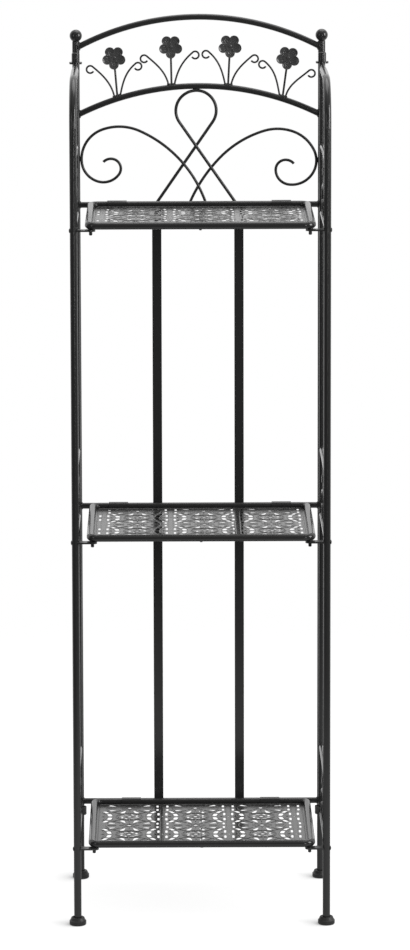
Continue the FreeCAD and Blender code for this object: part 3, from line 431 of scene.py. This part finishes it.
def flowers():
    """Four stamped flowers in place of the plain discs, each on the front of its stem."""
    tree = flower_tree()
    for number in FLOWERS:
        stand_in = f"flower_head_{number}"
        seed = point_mesh("seed", [(0, 0, 0)])
        bloom = grown(f"stamped_flower_{number}", seed, tree, Material=PAINTED_LIGHT_FLOWER_COAT)
        heart = centroid(stand_in)
        back = corners(stand_in)[1].y
        upright = Matrix.Rotation(math.radians(90), 4, "X")
        leaned = Matrix.Rotation(math.radians(FLOWER_LEAN.get(number, 0.0)), 4, "Y")
        seat = Matrix.Translation((heart.x, back - FLOWER_SINK, heart.z))
        bloom.data.transform(seat @ leaned @ upright)
        smooth(bloom.data)
        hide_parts(stand_in)
        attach(bloom, "frame")


flowers()

# ---------------------------------------------------------------- weld beads

# The bead's radius at each kind of join.
BEAD_R = {"crossbar": 0.0012, "arch": 0.0015, "rung": 0.001, "centre_bar": 0.0011, "wire_foot": 0.001,
          "wire_touch": 0.0012, "loop_top": 0.0017, "stem": 0.0031, "stem_flank": 0.0024,
          "side_scroll": 0.0011, "tab": 0.0009, "rib": 0.0009, "pin": 0.0012, "sheet": 0.0009}
# The length of each short straight bead.
DASH = {"centre_bar": CROSSBAR_R * 1.3, "wire_touch": 0.009, "loop_top": 0.012, "side_scroll": 0.008,
        "tab": 0.0032, "rib": 0.005, "sheet": 0.012}
TOUCHING = 0.00008
TAB_WELD_DROP = 0.0068
TAB_HALF = 0.0045


def bead_tree():
    """A weld bead along each line of a mesh: a rippled, slightly uneven round."""
    tree, inlet, outlet = new_group(
        "weld_bead", "GeometryNodeTree",
        [("Geometry", GEOMETRY, None), ("Step", FLOAT, 0.0007), ("Ripple", FLOAT, 0.0021),
         ("Ripple Share", FLOAT, 0.13), ("Waver", FLOAT, 0.5), ("Material", MATERIAL, None)],
        [("Geometry", GEOMETRY)])
    sizes = inlet.outputs
    line = node(tree, "GeometryNodeMeshToCurve", {"Mesh": sizes["Geometry"]})
    fine = node(tree, "GeometryNodeResampleCurve", {"Curve": line.outputs[0], "Length": sizes["Step"]},
                mode="LENGTH")
    size = node(tree, "GeometryNodeInputNamedAttribute", {"Name": "bead"}, data_type="FLOAT").outputs[0]
    along = node(tree, "GeometryNodeSplineParameter").outputs["Length"]
    phase = maths(tree, "DIVIDE", maths(tree, "MULTIPLY", along, FULL_TURN), sizes["Ripple"])
    ripple = maths(tree, "MULTIPLY", maths(tree, "SINE", phase), sizes["Ripple Share"])
    place = node(tree, "GeometryNodeInputPosition").outputs[0]
    drift = node(tree, "ShaderNodeTexNoise", {"Vector": place, "Scale": 380.0, "Detail": 1.0})
    waver = maths(tree, "MULTIPLY", maths(tree, "SUBTRACT", drift.outputs["Fac"], 0.5), sizes["Waver"])
    grow = maths(tree, "ADD", maths(tree, "ADD", 1.0, ripple), waver)
    ring = node(tree, "GeometryNodeCurvePrimitiveCircle", {"Resolution": 9, "Radius": 1.0}, mode="RADIUS")
    skin = node(tree, "GeometryNodeCurveToMesh",
                {"Curve": fine.outputs[0], "Profile Curve": ring.outputs[0],
                 "Scale": maths(tree, "MULTIPLY", size, grow), "Fill Caps": True})
    finish_tree(tree, outlet, skin.outputs[0], sizes["Material"])
    return tree


def line_mesh(name, lines):
    """Lines as loose edges, each given as (points, closed, bead), with the bead's radius on each point."""
    places, edges, beads = [], [], []
    for points, closed, bead in lines:
        first = len(places)
        places.extend(tuple(point) for point in points)
        beads.extend([bead] * len(points))
        edges.extend((first + step, first + step + 1) for step in range(len(points) - 1))
        if closed:
            edges.append((len(places) - 1, first))
    mesh = bpy.data.meshes.new(name)
    mesh.from_pydata(places, edges, [])
    mesh.attributes.new("bead", "FLOAT", "POINT").data.foreach_set("value", beads)
    return mesh


def saddle(round_at, round_axis, round_r, foot, direction, tube_r, steps=36):
    """The line where a tube that leaves foot along direction meets a round member."""
    axis, ahead = Vector(round_axis).normalized(), Vector(direction).normalized()
    side = ahead.orthogonal().normalized()
    other = ahead.cross(side)
    line = []
    for step in range(steps):
        angle = math.tau * step / steps
        rim = (side * math.cos(angle) + other * math.sin(angle)) * tube_r
        start = Vector(foot) + rim - Vector(round_at)
        across, drift = start - axis * start.dot(axis), ahead - axis * ahead.dot(axis)
        a, b, c = drift.dot(drift), across.dot(drift), across.dot(across) - round_r**2
        reach = (-b + math.sqrt(max(b * b - a * c, 0.0))) / a
        line.append(Vector(round_at) + start + ahead * reach)
    return line


def dash(centre, direction, length, pieces=6):
    """A short straight line through a point."""
    ahead = Vector(direction).normalized() * length
    return [Vector(centre) + ahead * (step / pieces - 0.5) for step in range(pieces + 1)]


def highest_turns(name, low, high, sign):
    """Where the wires of a side scroll touch the rung above (sign 1) or below (sign -1) in one tier."""
    places = [v.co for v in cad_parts[name].data.vertices if low < v.co.z < high]
    edge = max(sign * place.z for place in places)
    touching = [place.y for place in places if sign * place.z > edge - TOUCHING]
    split = (FRONT_Y + HINGE_LINE_Y) / 2
    halves = [[y for y in touching if y < split], [y for y in touching if y > split]]
    return sign * edge, [sum(half) / len(half) for half in halves if half]


def crossbar_welds():
    """Rings where the three crossbars meet the back posts."""
    for tier in TIERS:
        for side in SIDES.values():
            post = (side * POST_X, BACK_Y, TIER_Z[tier])
            yield saddle(post, (0, 0, 1), POST_R, post, (-side, 0, 0), CROSSBAR_R), True, BEAD_R["crossbar"]


def arch_circle(name):
    """Half the span of an arch's centre line, its radius, and the height of its centre."""
    half = POST_X - POST_R
    radius = (half**2 + ARCH_RISE[name]**2) / (2 * ARCH_RISE[name])
    return half, radius, corners(name)[1].z - ARCH_R - radius


def arch_welds():
    """Rings where the two arches meet the back posts."""
    for name in ARCH_RISE:
        half, radius, centre_z = arch_circle(name)
        foot_z = centre_z + math.sqrt(radius**2 - half**2)
        for side in SIDES.values():
            heading = Vector((-side * (foot_z - centre_z), 0, half))
            foot = (side * half, BACK_Y, foot_z)
            line = saddle((side * POST_X, BACK_Y, 0), (0, 0, 1), POST_R, foot, heading, ARCH_R)
            yield line, True, BEAD_R["arch"]


def rung_welds():
    """Rings at both ends of every rung: at the front post, and at the stile or its collar."""
    for side in SIDES.values():
        for row, rise in RUNG_RISE.items():
            for tier in TIERS:
                level = TIER_Z[tier] + rise
                front = (side * POST_X, FRONT_Y, level)
                back = (side * POST_X, HINGE_LINE_Y, level)
                back_r = COLLAR_R if (row, tier) == ("lower", "bottom") else STILE_R
                yield saddle(front, (0, 0, 1), POST_R, front, (0, 1, 0), RUNG_R), True, BEAD_R["rung"]
                yield saddle(back, (0, 0, 1), back_r, back, (0, -1, 0), RUNG_R), True, BEAD_R["rung"]


def centre_bar_welds():
    """Beads down both edges of the two flat bars, where they cross the crossbars."""
    for side in SIDES:
        low, high = corners(f"centre_bar_{side}")
        for tier in TIERS:
            for edge in (low.x, high.x):
                spot = (edge, low.y - 0.0006, TIER_Z[tier])
                yield dash(spot, (0, 0, 1), DASH["centre_bar"]), False, BEAD_R["centre_bar"]


def wire_foot_welds():
    """Where the loop and the two corner scrolls stand on the top crossbar."""
    bar = (0, BACK_Y, TIER_Z["top"])
    level = TIER_Z["top"] + CROSSBAR_R
    for name, wire_r in (("teardrop_loop", LOOP_WIRE_R), ("scroll_left", SCROLL_WIRE_R),
                         ("scroll_right", SCROLL_WIRE_R)):
        ground = [v.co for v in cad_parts[name].data.vertices if v.co.z < level + 0.003]
        centre = sum((place.x for place in ground), 0.0) / len(ground)
        groups = [ground]
        if name == "teardrop_loop":
            groups = [[p for p in ground if p.x < centre], [p for p in ground if p.x > centre]]
        for places in groups:
            middle_x = (min(p.x for p in places) + max(p.x for p in places)) / 2
            middle_y = (min(p.y for p in places) + max(p.y for p in places)) / 2
            foot = (middle_x, middle_y, level)
            ring = saddle(bar, (1, 0, 0), CROSSBAR_R, foot, (0, 0, 1), wire_r * 1.05)
            yield ring, True, BEAD_R["wire_foot"]


def wire_touch_welds():
    """Where the corner scrolls lean on the posts, and the loop hangs under the lower arch."""
    for side in SIDES:
        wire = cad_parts[f"scroll_{side}"].data.vertices
        touch = max((v.co for v in wire), key=lambda place: abs(place.x))
        spot = (touch.x - SIDES[side] * 0.0002, touch.y, touch.z)
        yield dash(spot, (0, 0, 1), DASH["wire_touch"]), False, BEAD_R["wire_touch"]
    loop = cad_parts["teardrop_loop"].data.vertices
    top = max((v.co for v in loop), key=lambda place: place.z)
    spot = (top.x, BACK_Y, top.z - 0.0002)
    yield dash(spot, (1, 0, 0), DASH["loop_top"]), False, BEAD_R["loop_top"]


def stem_welds():
    """A lump of weld at each flower's foot, where a stem and two tendrils meet on the lower arch."""
    _, radius, centre_z = arch_circle("lower_arch")
    for number in FLOWERS:
        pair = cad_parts[f"tendril_pair_{number}"].data.vertices
        floor_z = min(v.co.z for v in pair)
        feet = [v.co.x for v in pair if v.co.z < floor_z + 0.004]
        low, high = min(feet), max(feet)
        line = []
        for step in range(9):
            x = low + (high - low) * step / 8
            line.append(Vector((x, BACK_Y, centre_z + math.sqrt(radius**2 - x**2) + ARCH_R * 0.86)))
        yield line, False, BEAD_R["stem"]
        for y in (-0.0022, 0.0022):
            flank = [place + Vector((0, y, -0.001)) for place in line[1:-1]]
            yield flank, False, BEAD_R["stem_flank"]


def side_scroll_welds():
    """Beads where the side scrolls touch the rungs above and below them."""
    for name, side in SIDES.items():
        for tier in TIERS:
            low, high = TIER_Z[tier] - 0.02, TIER_Z[tier] + 0.12
            for sign in (-1, 1):
                level, touches = highest_turns(f"side_scrolls_{name}", low, high, sign)
                for y in touches:
                    spot = (side * POST_X, y, level)
                    yield dash(spot, (0, 1, 0), DASH["side_scroll"]), False, BEAD_R["side_scroll"]


def tab_welds():
    """Beads down both edges of each tab, where it leaves the front post."""
    reach = math.sqrt(POST_R**2 - TAB_HALF**2)
    for side in SIDES.values():
        for tier in TIERS:
            for y in (-0.004464, 0.004464):
                spot = (side * (POST_X - reach), FRONT_Y + y, TIER_Z[tier] - TAB_WELD_DROP)
                yield dash(spot, (0, 0, 1), DASH["tab"], 2), False, BEAD_R["tab"]


def frame_welds():
    """All beads of the standing frame, as one piece."""
    makers = (crossbar_welds, arch_welds, rung_welds, centre_bar_welds, wire_foot_welds, wire_touch_welds,
              stem_welds, side_scroll_welds, tab_welds)
    lines = [line for maker in makers for line in maker()]
    beads = grown("frame_welds", line_mesh("frame_welds", lines), BEADS, Material=WELD_COAT)
    smooth(beads.data, 60)
    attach(beads, "frame")


def shelf_weld_lines(tier):
    """Beads round the pins, at the ends of the rib, and spots where the sheet meets its frame."""
    frame_low = corners(f"shelf_frame_{tier}")[0]
    rib_low, rib_high = corners(f"shelf_rib_{tier}")
    rib_z = (rib_low.z + rib_high.z) / 2
    sheet_low, sheet_high = corners(f"shelf_panel_{tier}")
    under = sheet_low.z
    for end in (rib_low.y, rib_high.y):
        for edge in (rib_low.x, rib_high.x):
            yield dash((edge, end, rib_z), (0, 0, 1), DASH["rib"], 3), False, BEAD_R["rib"]
    pin_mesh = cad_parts[f"shelf_pins_{tier}"].data
    for side in SIDES.values():
        pins = [v.co for v in pin_mesh.vertices if v.co.x * side > 0]
        centre_x = (min(p.x for p in pins) + max(p.x for p in pins)) / 2
        centre_y = (min(p.y for p in pins) + max(p.y for p in pins)) / 2
        radius = (max(p.x for p in pins) - min(p.x for p in pins)) / 2
        ring = [Vector((centre_x + math.cos(math.tau * k / 20) * radius,
                        centre_y + math.sin(math.tau * k / 20) * radius,
                        frame_low.z + 0.0003)) for k in range(20)]
        yield ring, True, BEAD_R["pin"]
    for share in (0.18, 0.5, 0.82):
        x = sheet_low.x + (sheet_high.x - sheet_low.x) * share
        y = sheet_low.y + (sheet_high.y - sheet_low.y) * share
        yield dash((x, sheet_low.y, under), (1, 0, 0), DASH["sheet"]), False, BEAD_R["sheet"]
        for edge in (sheet_low.x, sheet_high.x):
            yield dash((edge, y, under), (0, 1, 0), DASH["sheet"]), False, BEAD_R["sheet"]


def shelf_welds():
    """All beads of each shelf, as one piece that swings with it."""
    for tier in TIERS:
        lines = line_mesh("shelf_welds", list(shelf_weld_lines(tier)))
        beads = grown(f"shelf_welds_{tier}", lines, BEADS, Material=WELD_COAT)
        smooth(beads.data, 60)
        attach(beads, f"{tier}_shelf")


BEADS = bead_tree()
frame_welds()
shelf_welds()

# ---------------------------------------------------------------- rivets through the front posts

RIVET_DROP = 0.0067


def rivet_tree():
    """A low domed rivet head, flattened along X, at each point."""
    tree, inlet, outlet = new_group(
        "rivet_head", "GeometryNodeTree",
        [("Geometry", GEOMETRY, None), ("Head Radius", FLOAT, 0.0042), ("Head Height", FLOAT, 0.0021),
         ("Material", MATERIAL, None)],
        [("Geometry", GEOMETRY)])
    sizes = inlet.outputs
    ball = node(tree, "GeometryNodeMeshUVSphere", {"Segments": 20, "Rings": 12, "Radius": 1.0})
    shape = node(tree, "ShaderNodeCombineXYZ",
                 {0: sizes["Head Height"], 1: sizes["Head Radius"], 2: sizes["Head Radius"]})
    head = node(tree, "GeometryNodeTransform", {"Geometry": ball.outputs[0], "Scale": shape.outputs[0]})
    heads = node(tree, "GeometryNodeInstanceOnPoints",
                 {"Points": sizes["Geometry"], "Instance": head.outputs[0]})
    finish_tree(tree, outlet, heads.outputs[0], sizes["Material"])
    return tree


def rivets():
    """The upset ends of the shelf tabs, on the outer sides of the front posts."""
    points = []
    for side in SIDES.values():
        for tier in TIERS:
            points.append((side * (POST_X + POST_R * 0.96), FRONT_Y, TIER_Z[tier] - RIVET_DROP))
    heads = grown("tab_rivets", point_mesh("tab_rivets", points), rivet_tree(), Material=PIN_COAT)
    smooth(heads.data, 60)
    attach(heads, "frame")


rivets()

# ---------------------------------------------------------------- pressed relief of the shelves

# The pressed lines of one repeat. Places are shares of the pitch, the last number is a ridge's half width.
ROSETTE_RINGS = ((0.062, 0.0009), (0.35, 0.0011))
ROSETTE_SPOKES = ((0.085, 0.15, 0.0010), (0.2, 0.33, 0.0012))
WREATH_RINGS = ((0.053, 0.0008), (0.172, 0.0010), (0.21, 0.0008))
WREATH_SPOKES = (0.178, 0.204, 0.0008)
LEAF_BOW = 0.53
LEAF_AWAY = 0.21
# Each line beside a bowed leaf: its distance from the leaf's middle, half its angle, its half width.
LEAF_LINES = ((-0.046, 26, 0.0010), (0.046, 37, 0.0011), (-0.075, 21, 0.0008))
RIDGE_FLATTEN = 0.55
POINT_STEP = 0.002


def relief_tree():
    """A pressed ridge along each line of a mesh: a round, flattened onto the sheet's top."""
    tree, inlet, outlet = new_group(
        "pressed_ridge", "GeometryNodeTree",
        [("Geometry", GEOMETRY, None), ("Step", FLOAT, 0.0018), ("Level", FLOAT, 0.0),
         ("Flatten", FLOAT, 0.5), ("Material", MATERIAL, None)],
        [("Geometry", GEOMETRY)])
    sizes = inlet.outputs
    line = node(tree, "GeometryNodeMeshToCurve", {"Mesh": sizes["Geometry"]})
    fine = node(tree, "GeometryNodeResampleCurve", {"Curve": line.outputs[0], "Length": sizes["Step"]},
                mode="LENGTH")
    size = node(tree, "GeometryNodeInputNamedAttribute", {"Name": "bead"}, data_type="FLOAT").outputs[0]
    ring = node(tree, "GeometryNodeCurvePrimitiveCircle", {"Resolution": 8, "Radius": 1.0}, mode="RADIUS")
    skin = node(tree, "GeometryNodeCurveToMesh",
                {"Curve": fine.outputs[0], "Profile Curve": ring.outputs[0], "Scale": size,
                 "Fill Caps": True})
    place = node(tree, "GeometryNodeInputPosition").outputs[0]
    height = node(tree, "ShaderNodeSeparateXYZ", {0: place}).outputs[2]
    above = maths(tree, "SUBTRACT", height, sizes["Level"])
    lost = maths(tree, "MULTIPLY", above, maths(tree, "SUBTRACT", sizes["Flatten"], 1.0))
    sink = node(tree, "ShaderNodeCombineXYZ", {2: lost})
    low = node(tree, "GeometryNodeSetPosition", {"Geometry": skin.outputs[0], "Offset": sink.outputs[0]})
    finish_tree(tree, outlet, low.outputs[0], sizes["Material"])
    return tree


def arc_line(centre_x, centre_y, radius, first, last, level):
    """Points of an arc on the sheet, about 2 mm apart. Angles in degrees."""
    steps = max(int(math.radians(last - first) * radius / POINT_STEP), 6)
    line = []
    for step in range(steps + 1):
        angle = math.radians(first + (last - first) * step / steps)
        x, y = centre_x + radius * math.cos(angle), centre_y + radius * math.sin(angle)
        line.append(Vector((x, y, level)))
    return line


def ring_line(centre_x, centre_y, radius, level):
    return arc_line(centre_x, centre_y, radius, 0, 360, level)


def spoke_line(centre_x, centre_y, first, last, angle, level):
    """A straight line away from a centre, from one radius to another."""
    turn = math.radians(angle)
    steps = max(int((last - first) / POINT_STEP), 4)
    reach = [first + (last - first) * step / steps for step in range(steps + 1)]
    return [Vector((centre_x + r * math.cos(turn), centre_y + r * math.sin(turn), level)) for r in reach]


def rosette_ridges(x, y, level):
    """Rings and petal veins of a rosette, and the four knots round it."""
    for radius, width in ROSETTE_RINGS:
        yield ring_line(x, y, PITCH * radius, level), width
    for spoke in range(8):
        for first, last, width in ROSETTE_SPOKES:
            yield spoke_line(x, y, PITCH * first, PITCH * last, 45 * spoke, level), width


def wreath_ridges(x, y, level):
    """Rings of a wreath, and the notches between its two outer ones."""
    for radius, width in WREATH_RINGS:
        yield ring_line(x, y, PITCH * radius, level), width
    first, last, width = WREATH_SPOKES
    for spoke in range(16):
        yield spoke_line(x, y, PITCH * first, PITCH * last, 22.5 * spoke, level), width


def cell_ridges(rosette_x, rosette_y, level):
    """The pressed lines of one repeat: of its two flowers, its knots, its bowed leaves and its strip."""
    wreath_y = rosette_y + PITCH / 2
    yield from rosette_ridges(rosette_x, rosette_y, level)
    yield from wreath_ridges(rosette_x, wreath_y, level)
    for sign_x in (1, -1):
        for sign_y in (1, -1):
            knot_x, knot_y = rosette_x + sign_x * PITCH * 0.2325, rosette_y + sign_y * PITCH * 0.248
            yield ring_line(knot_x, knot_y, 0.0026, level), 0.0010
    strip_x = rosette_x + PITCH / 2
    bow = PITCH * LEAF_BOW
    for side in (-1, 1):
        facing = 0 if side > 0 else 180
        bow_x = strip_x + side * (PITCH * LEAF_AWAY - bow)
        for offset, half_angle, width in LEAF_LINES:
            radius = bow + PITCH * offset
            yield arc_line(bow_x, wreath_y, radius, facing - half_angle, facing + half_angle, level), width
        yield spoke_line(strip_x + side * PITCH * 0.036, rosette_y, 0, PITCH, 90, level), 0.0008
        for step in (0.27, 0.5, 0.73):
            yield ring_line(strip_x + side * PITCH * 0.105, rosette_y + PITCH * step, 0.0022, level), 0.0009


def inside_runs(line, low, high):
    """The stretches of a line that lie on the open field of the sheet."""
    run = []
    for point in line:
        if low.x < point.x < high.x and low.y < point.y < high.y:
            run.append(point)
            continue
        if len(run) > 3:
            yield run
        run = []
    if len(run) > 3:
        yield run


def rounded_border(low, high, inset, radius, level):
    """A closed line parallel to the sheet's edge, with round corners."""
    line = []
    for corner, (sign_x, sign_y) in enumerate(((1, -1), (1, 1), (-1, 1), (-1, -1))):
        edge_x = high.x - inset if sign_x > 0 else low.x + inset
        edge_y = high.y - inset if sign_y > 0 else low.y + inset
        first = -90 + 90 * corner
        centre_x, centre_y = edge_x - sign_x * radius, edge_y - sign_y * radius
        line += arc_line(centre_x, centre_y, radius, first, first + 90, level)
    return line


def shelf_relief():
    """The ridges of each sheet, as one piece that swings with its shelf."""
    tree = relief_tree()
    for tier in TIERS:
        low, high = corners(f"shelf_panel_{tier}")
        level = high.z
        first_x, first_y = ROSETTE_AT[tier]
        field_low = low + Vector((0.0065, 0.0065, 0))
        field_high = high - Vector((0.0065, 0.0075, 0))
        lines = [(rounded_border(low, high, 0.0042, 0.004, level), True, 0.0012)]
        for column in range(-4, 5):
            for row in range(-3, 4):
                for line, width in cell_ridges(first_x + column * PITCH, first_y + row * PITCH, level):
                    lines += [(run, False, width) for run in inside_runs(line, field_low, field_high)]
        ridges = grown(f"pressed_relief_{tier}", line_mesh("pressed_relief", lines), tree, Level=level,
                       Flatten=RIDGE_FLATTEN, Material=SHEET_COAT)
        smooth(ridges.data, 70)
        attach(ridges, f"{tier}_shelf")


shelf_relief()

# ---------------------------------------------------------------- floor, light and camera

FLOOR_RADIUS = 3.0
FLOOR_DROP = 0.0005
FLOOR_GREY = (0.2, 0.2, 0.2, 1)
FLOOR_FADE = (0.7, 2.4)
# How far the painted shadow reaches round the feet.
PAINTED_SHADOW_REACH = 0.042
FLOOR_GLOW = 0.4
CAMERA_GLOW = 0.5
WHITE = (1, 1, 1, 1)
SOFT_WORLD = 0.6
AIM = (0, 0, 0.8)
# Each lamp's name, place, width and height, and power in watts.
LAMPS = (("key", (3.2, -1.5, 2.2), (1.4, 2.4), 95.0),
         ("strip", (1.7, -6.0, 1.4), (0.35, 2.6), 30.0),
         ("fill", (-2.8, -2.6, 2.0), (1.0, 2.0), 10.0),
         ("top", (0.3, 0.6, 3.6), (2.0, 2.0), 26.0))
IMAGE_HEIGHT = 950
CAMERA_AT = (-0.06097, -7.9139, 2.2781)
CAMERA_DOWN = 8.134
CAMERA_ROLL = -0.0034895


def floor():
    """A white floor that fades into the background away from the rack. Its soft shadows are partly real, from
    the lamps on its grey paint, and partly painted shadow, where its glow dims by ambient occlusion near the
    feet.
    """
    shape = bmesh.new()
    bmesh.ops.create_circle(shape, cap_ends=True, radius=FLOOR_RADIUS, segments=64)
    mesh = bpy.data.meshes.new("floor")
    shape.to_mesh(mesh)
    shape.free()
    made = add_object("floor", mesh)
    made.location.z = -FLOOR_DROP
    material = bpy.data.materials.new("floor_paint")
    material.use_nodes = True
    tree = material.node_tree
    tree.nodes.clear()
    outlet = tree.nodes.new("ShaderNodeOutputMaterial")
    paint = node(tree, "ShaderNodeBsdfDiffuse", {"Color": FLOOR_GREY})
    # Painted shadow: the glow is darkened by ambient occlusion about a normal tilted toward the key lamp, so
    # a short shade falls beside each foot.
    towards_lamp = node(tree, "ShaderNodeCombineXYZ", {0: 0.8, 1: -0.4, 2: 0.4})
    painted_shadow = node(tree, "ShaderNodeAmbientOcclusion",
                {"Distance": PAINTED_SHADOW_REACH, "Normal": towards_lamp.outputs[0]}, samples=16)
    seen = tree.nodes.new("ShaderNodeLightPath").outputs["Is Camera Ray"]
    share = maths(tree, "ADD", maths(tree, "MULTIPLY", seen, CAMERA_GLOW), FLOOR_GLOW)
    glow_less_painted_shadow = maths(tree, "MULTIPLY", painted_shadow.outputs["AO"], share)
    glow = node(tree, "ShaderNodeEmission", {"Color": WHITE, "Strength": glow_less_painted_shadow})
    lit = node(tree, "ShaderNodeAddShader")
    tree.links.new(paint.outputs[0], lit.inputs[0])
    tree.links.new(glow.outputs[0], lit.inputs[1])
    clear = tree.nodes.new("ShaderNodeBsdfTransparent")
    place = tree.nodes.new("ShaderNodeTexCoord").outputs["Object"]
    reach = node(tree, "ShaderNodeVectorMath", {0: place}, operation="LENGTH").outputs["Value"]
    fade = node(tree, "ShaderNodeMapRange",
                {"Value": reach, "From Min": FLOOR_FADE[0], "From Max": FLOOR_FADE[1]},
                interpolation_type="SMOOTHSTEP")
    blend = node(tree, "ShaderNodeMixShader", {0: fade.outputs[0]})
    tree.links.new(lit.outputs[0], blend.inputs[1])
    tree.links.new(clear.outputs[0], blend.inputs[2])
    tree.links.new(blend.outputs[0], outlet.inputs["Surface"])
    mesh.materials.append(material)


def studio():
    """White background, a soft world that is bright behind and dark in front, and large soft lamps."""
    world = bpy.data.worlds.new("studio")
    bpy.context.scene.world = world
    world.use_nodes = True
    tree = world.node_tree
    tree.nodes.clear()
    outlet = tree.nodes.new("ShaderNodeOutputWorld")
    path = tree.nodes.new("ShaderNodeLightPath")
    seen = maths(tree, "MAXIMUM", path.outputs["Is Camera Ray"], path.outputs["Is Transmission Ray"])
    direction = tree.nodes.new("ShaderNodeTexCoord").outputs["Generated"]
    heading = node(tree, "ShaderNodeSeparateXYZ", {0: direction})
    behind = node(tree, "ShaderNodeMapRange",
                  {"Value": heading.outputs["Y"], "From Min": -0.25, "From Max": 0.45, "To Min": 0.03,
                   "To Max": 1.0}, interpolation_type="SMOOTHSTEP")
    overhead = node(tree, "ShaderNodeMapRange",
                    {"Value": heading.outputs["Z"], "From Min": 0.5, "From Max": 0.98, "To Min": 0.0,
                     "To Max": 0.45}, interpolation_type="SMOOTHSTEP")
    mirrored_level = maths(tree, "MAXIMUM", behind.outputs[0], overhead.outputs[0])
    glossy = maths(tree, "MULTIPLY", path.outputs["Is Glossy Ray"], mirrored_level)
    plain = maths(tree, "SUBTRACT", 1.0, maths(tree, "MAXIMUM", seen, path.outputs["Is Glossy Ray"]))
    soft = maths(tree, "MULTIPLY", plain, SOFT_WORLD)
    level = maths(tree, "ADD", maths(tree, "ADD", seen, glossy), soft)
    light = node(tree, "ShaderNodeBackground", {"Color": WHITE, "Strength": level})
    tree.links.new(light.outputs[0], outlet.inputs["Surface"])

    for name, spot, (wide, high), power in LAMPS:
        data = bpy.data.lights.new(name, "AREA")
        data.shape = "RECTANGLE"
        data.size = wide
        data.size_y = high
        data.energy = power
        lamp = bpy.data.objects.new(name, data)
        bpy.context.scene.collection.objects.link(lamp)
        lamp.location = spot
        aim = Vector(AIM) - Vector(spot)
        lamp.rotation_euler = aim.to_track_quat("-Z", "Y").to_euler()


def camera():
    """A long lens a little above the top shelf, looking slightly down."""
    data = bpy.data.cameras.new("camera")
    data.sensor_width = 36.0
    data.lens = 170.12
    data.shift_x = 39.3 / IMAGE_HEIGHT
    data.shift_y = -200.0 / IMAGE_HEIGHT
    data.clip_start = 0.1
    data.clip_end = 60
    made = bpy.data.objects.new("camera", data)
    bpy.context.scene.collection.objects.link(made)
    pitch = math.radians(90 - CAMERA_DOWN)
    spot = Matrix.Translation(CAMERA_AT)
    made.matrix_world = spot @ Matrix.Rotation(pitch, 4, "X") @ Matrix.Rotation(CAMERA_ROLL, 4, "Z")
    bpy.context.scene.camera = made


floor()
studio()
camera()
bpy.context.scene.view_settings.view_transform = "Standard"
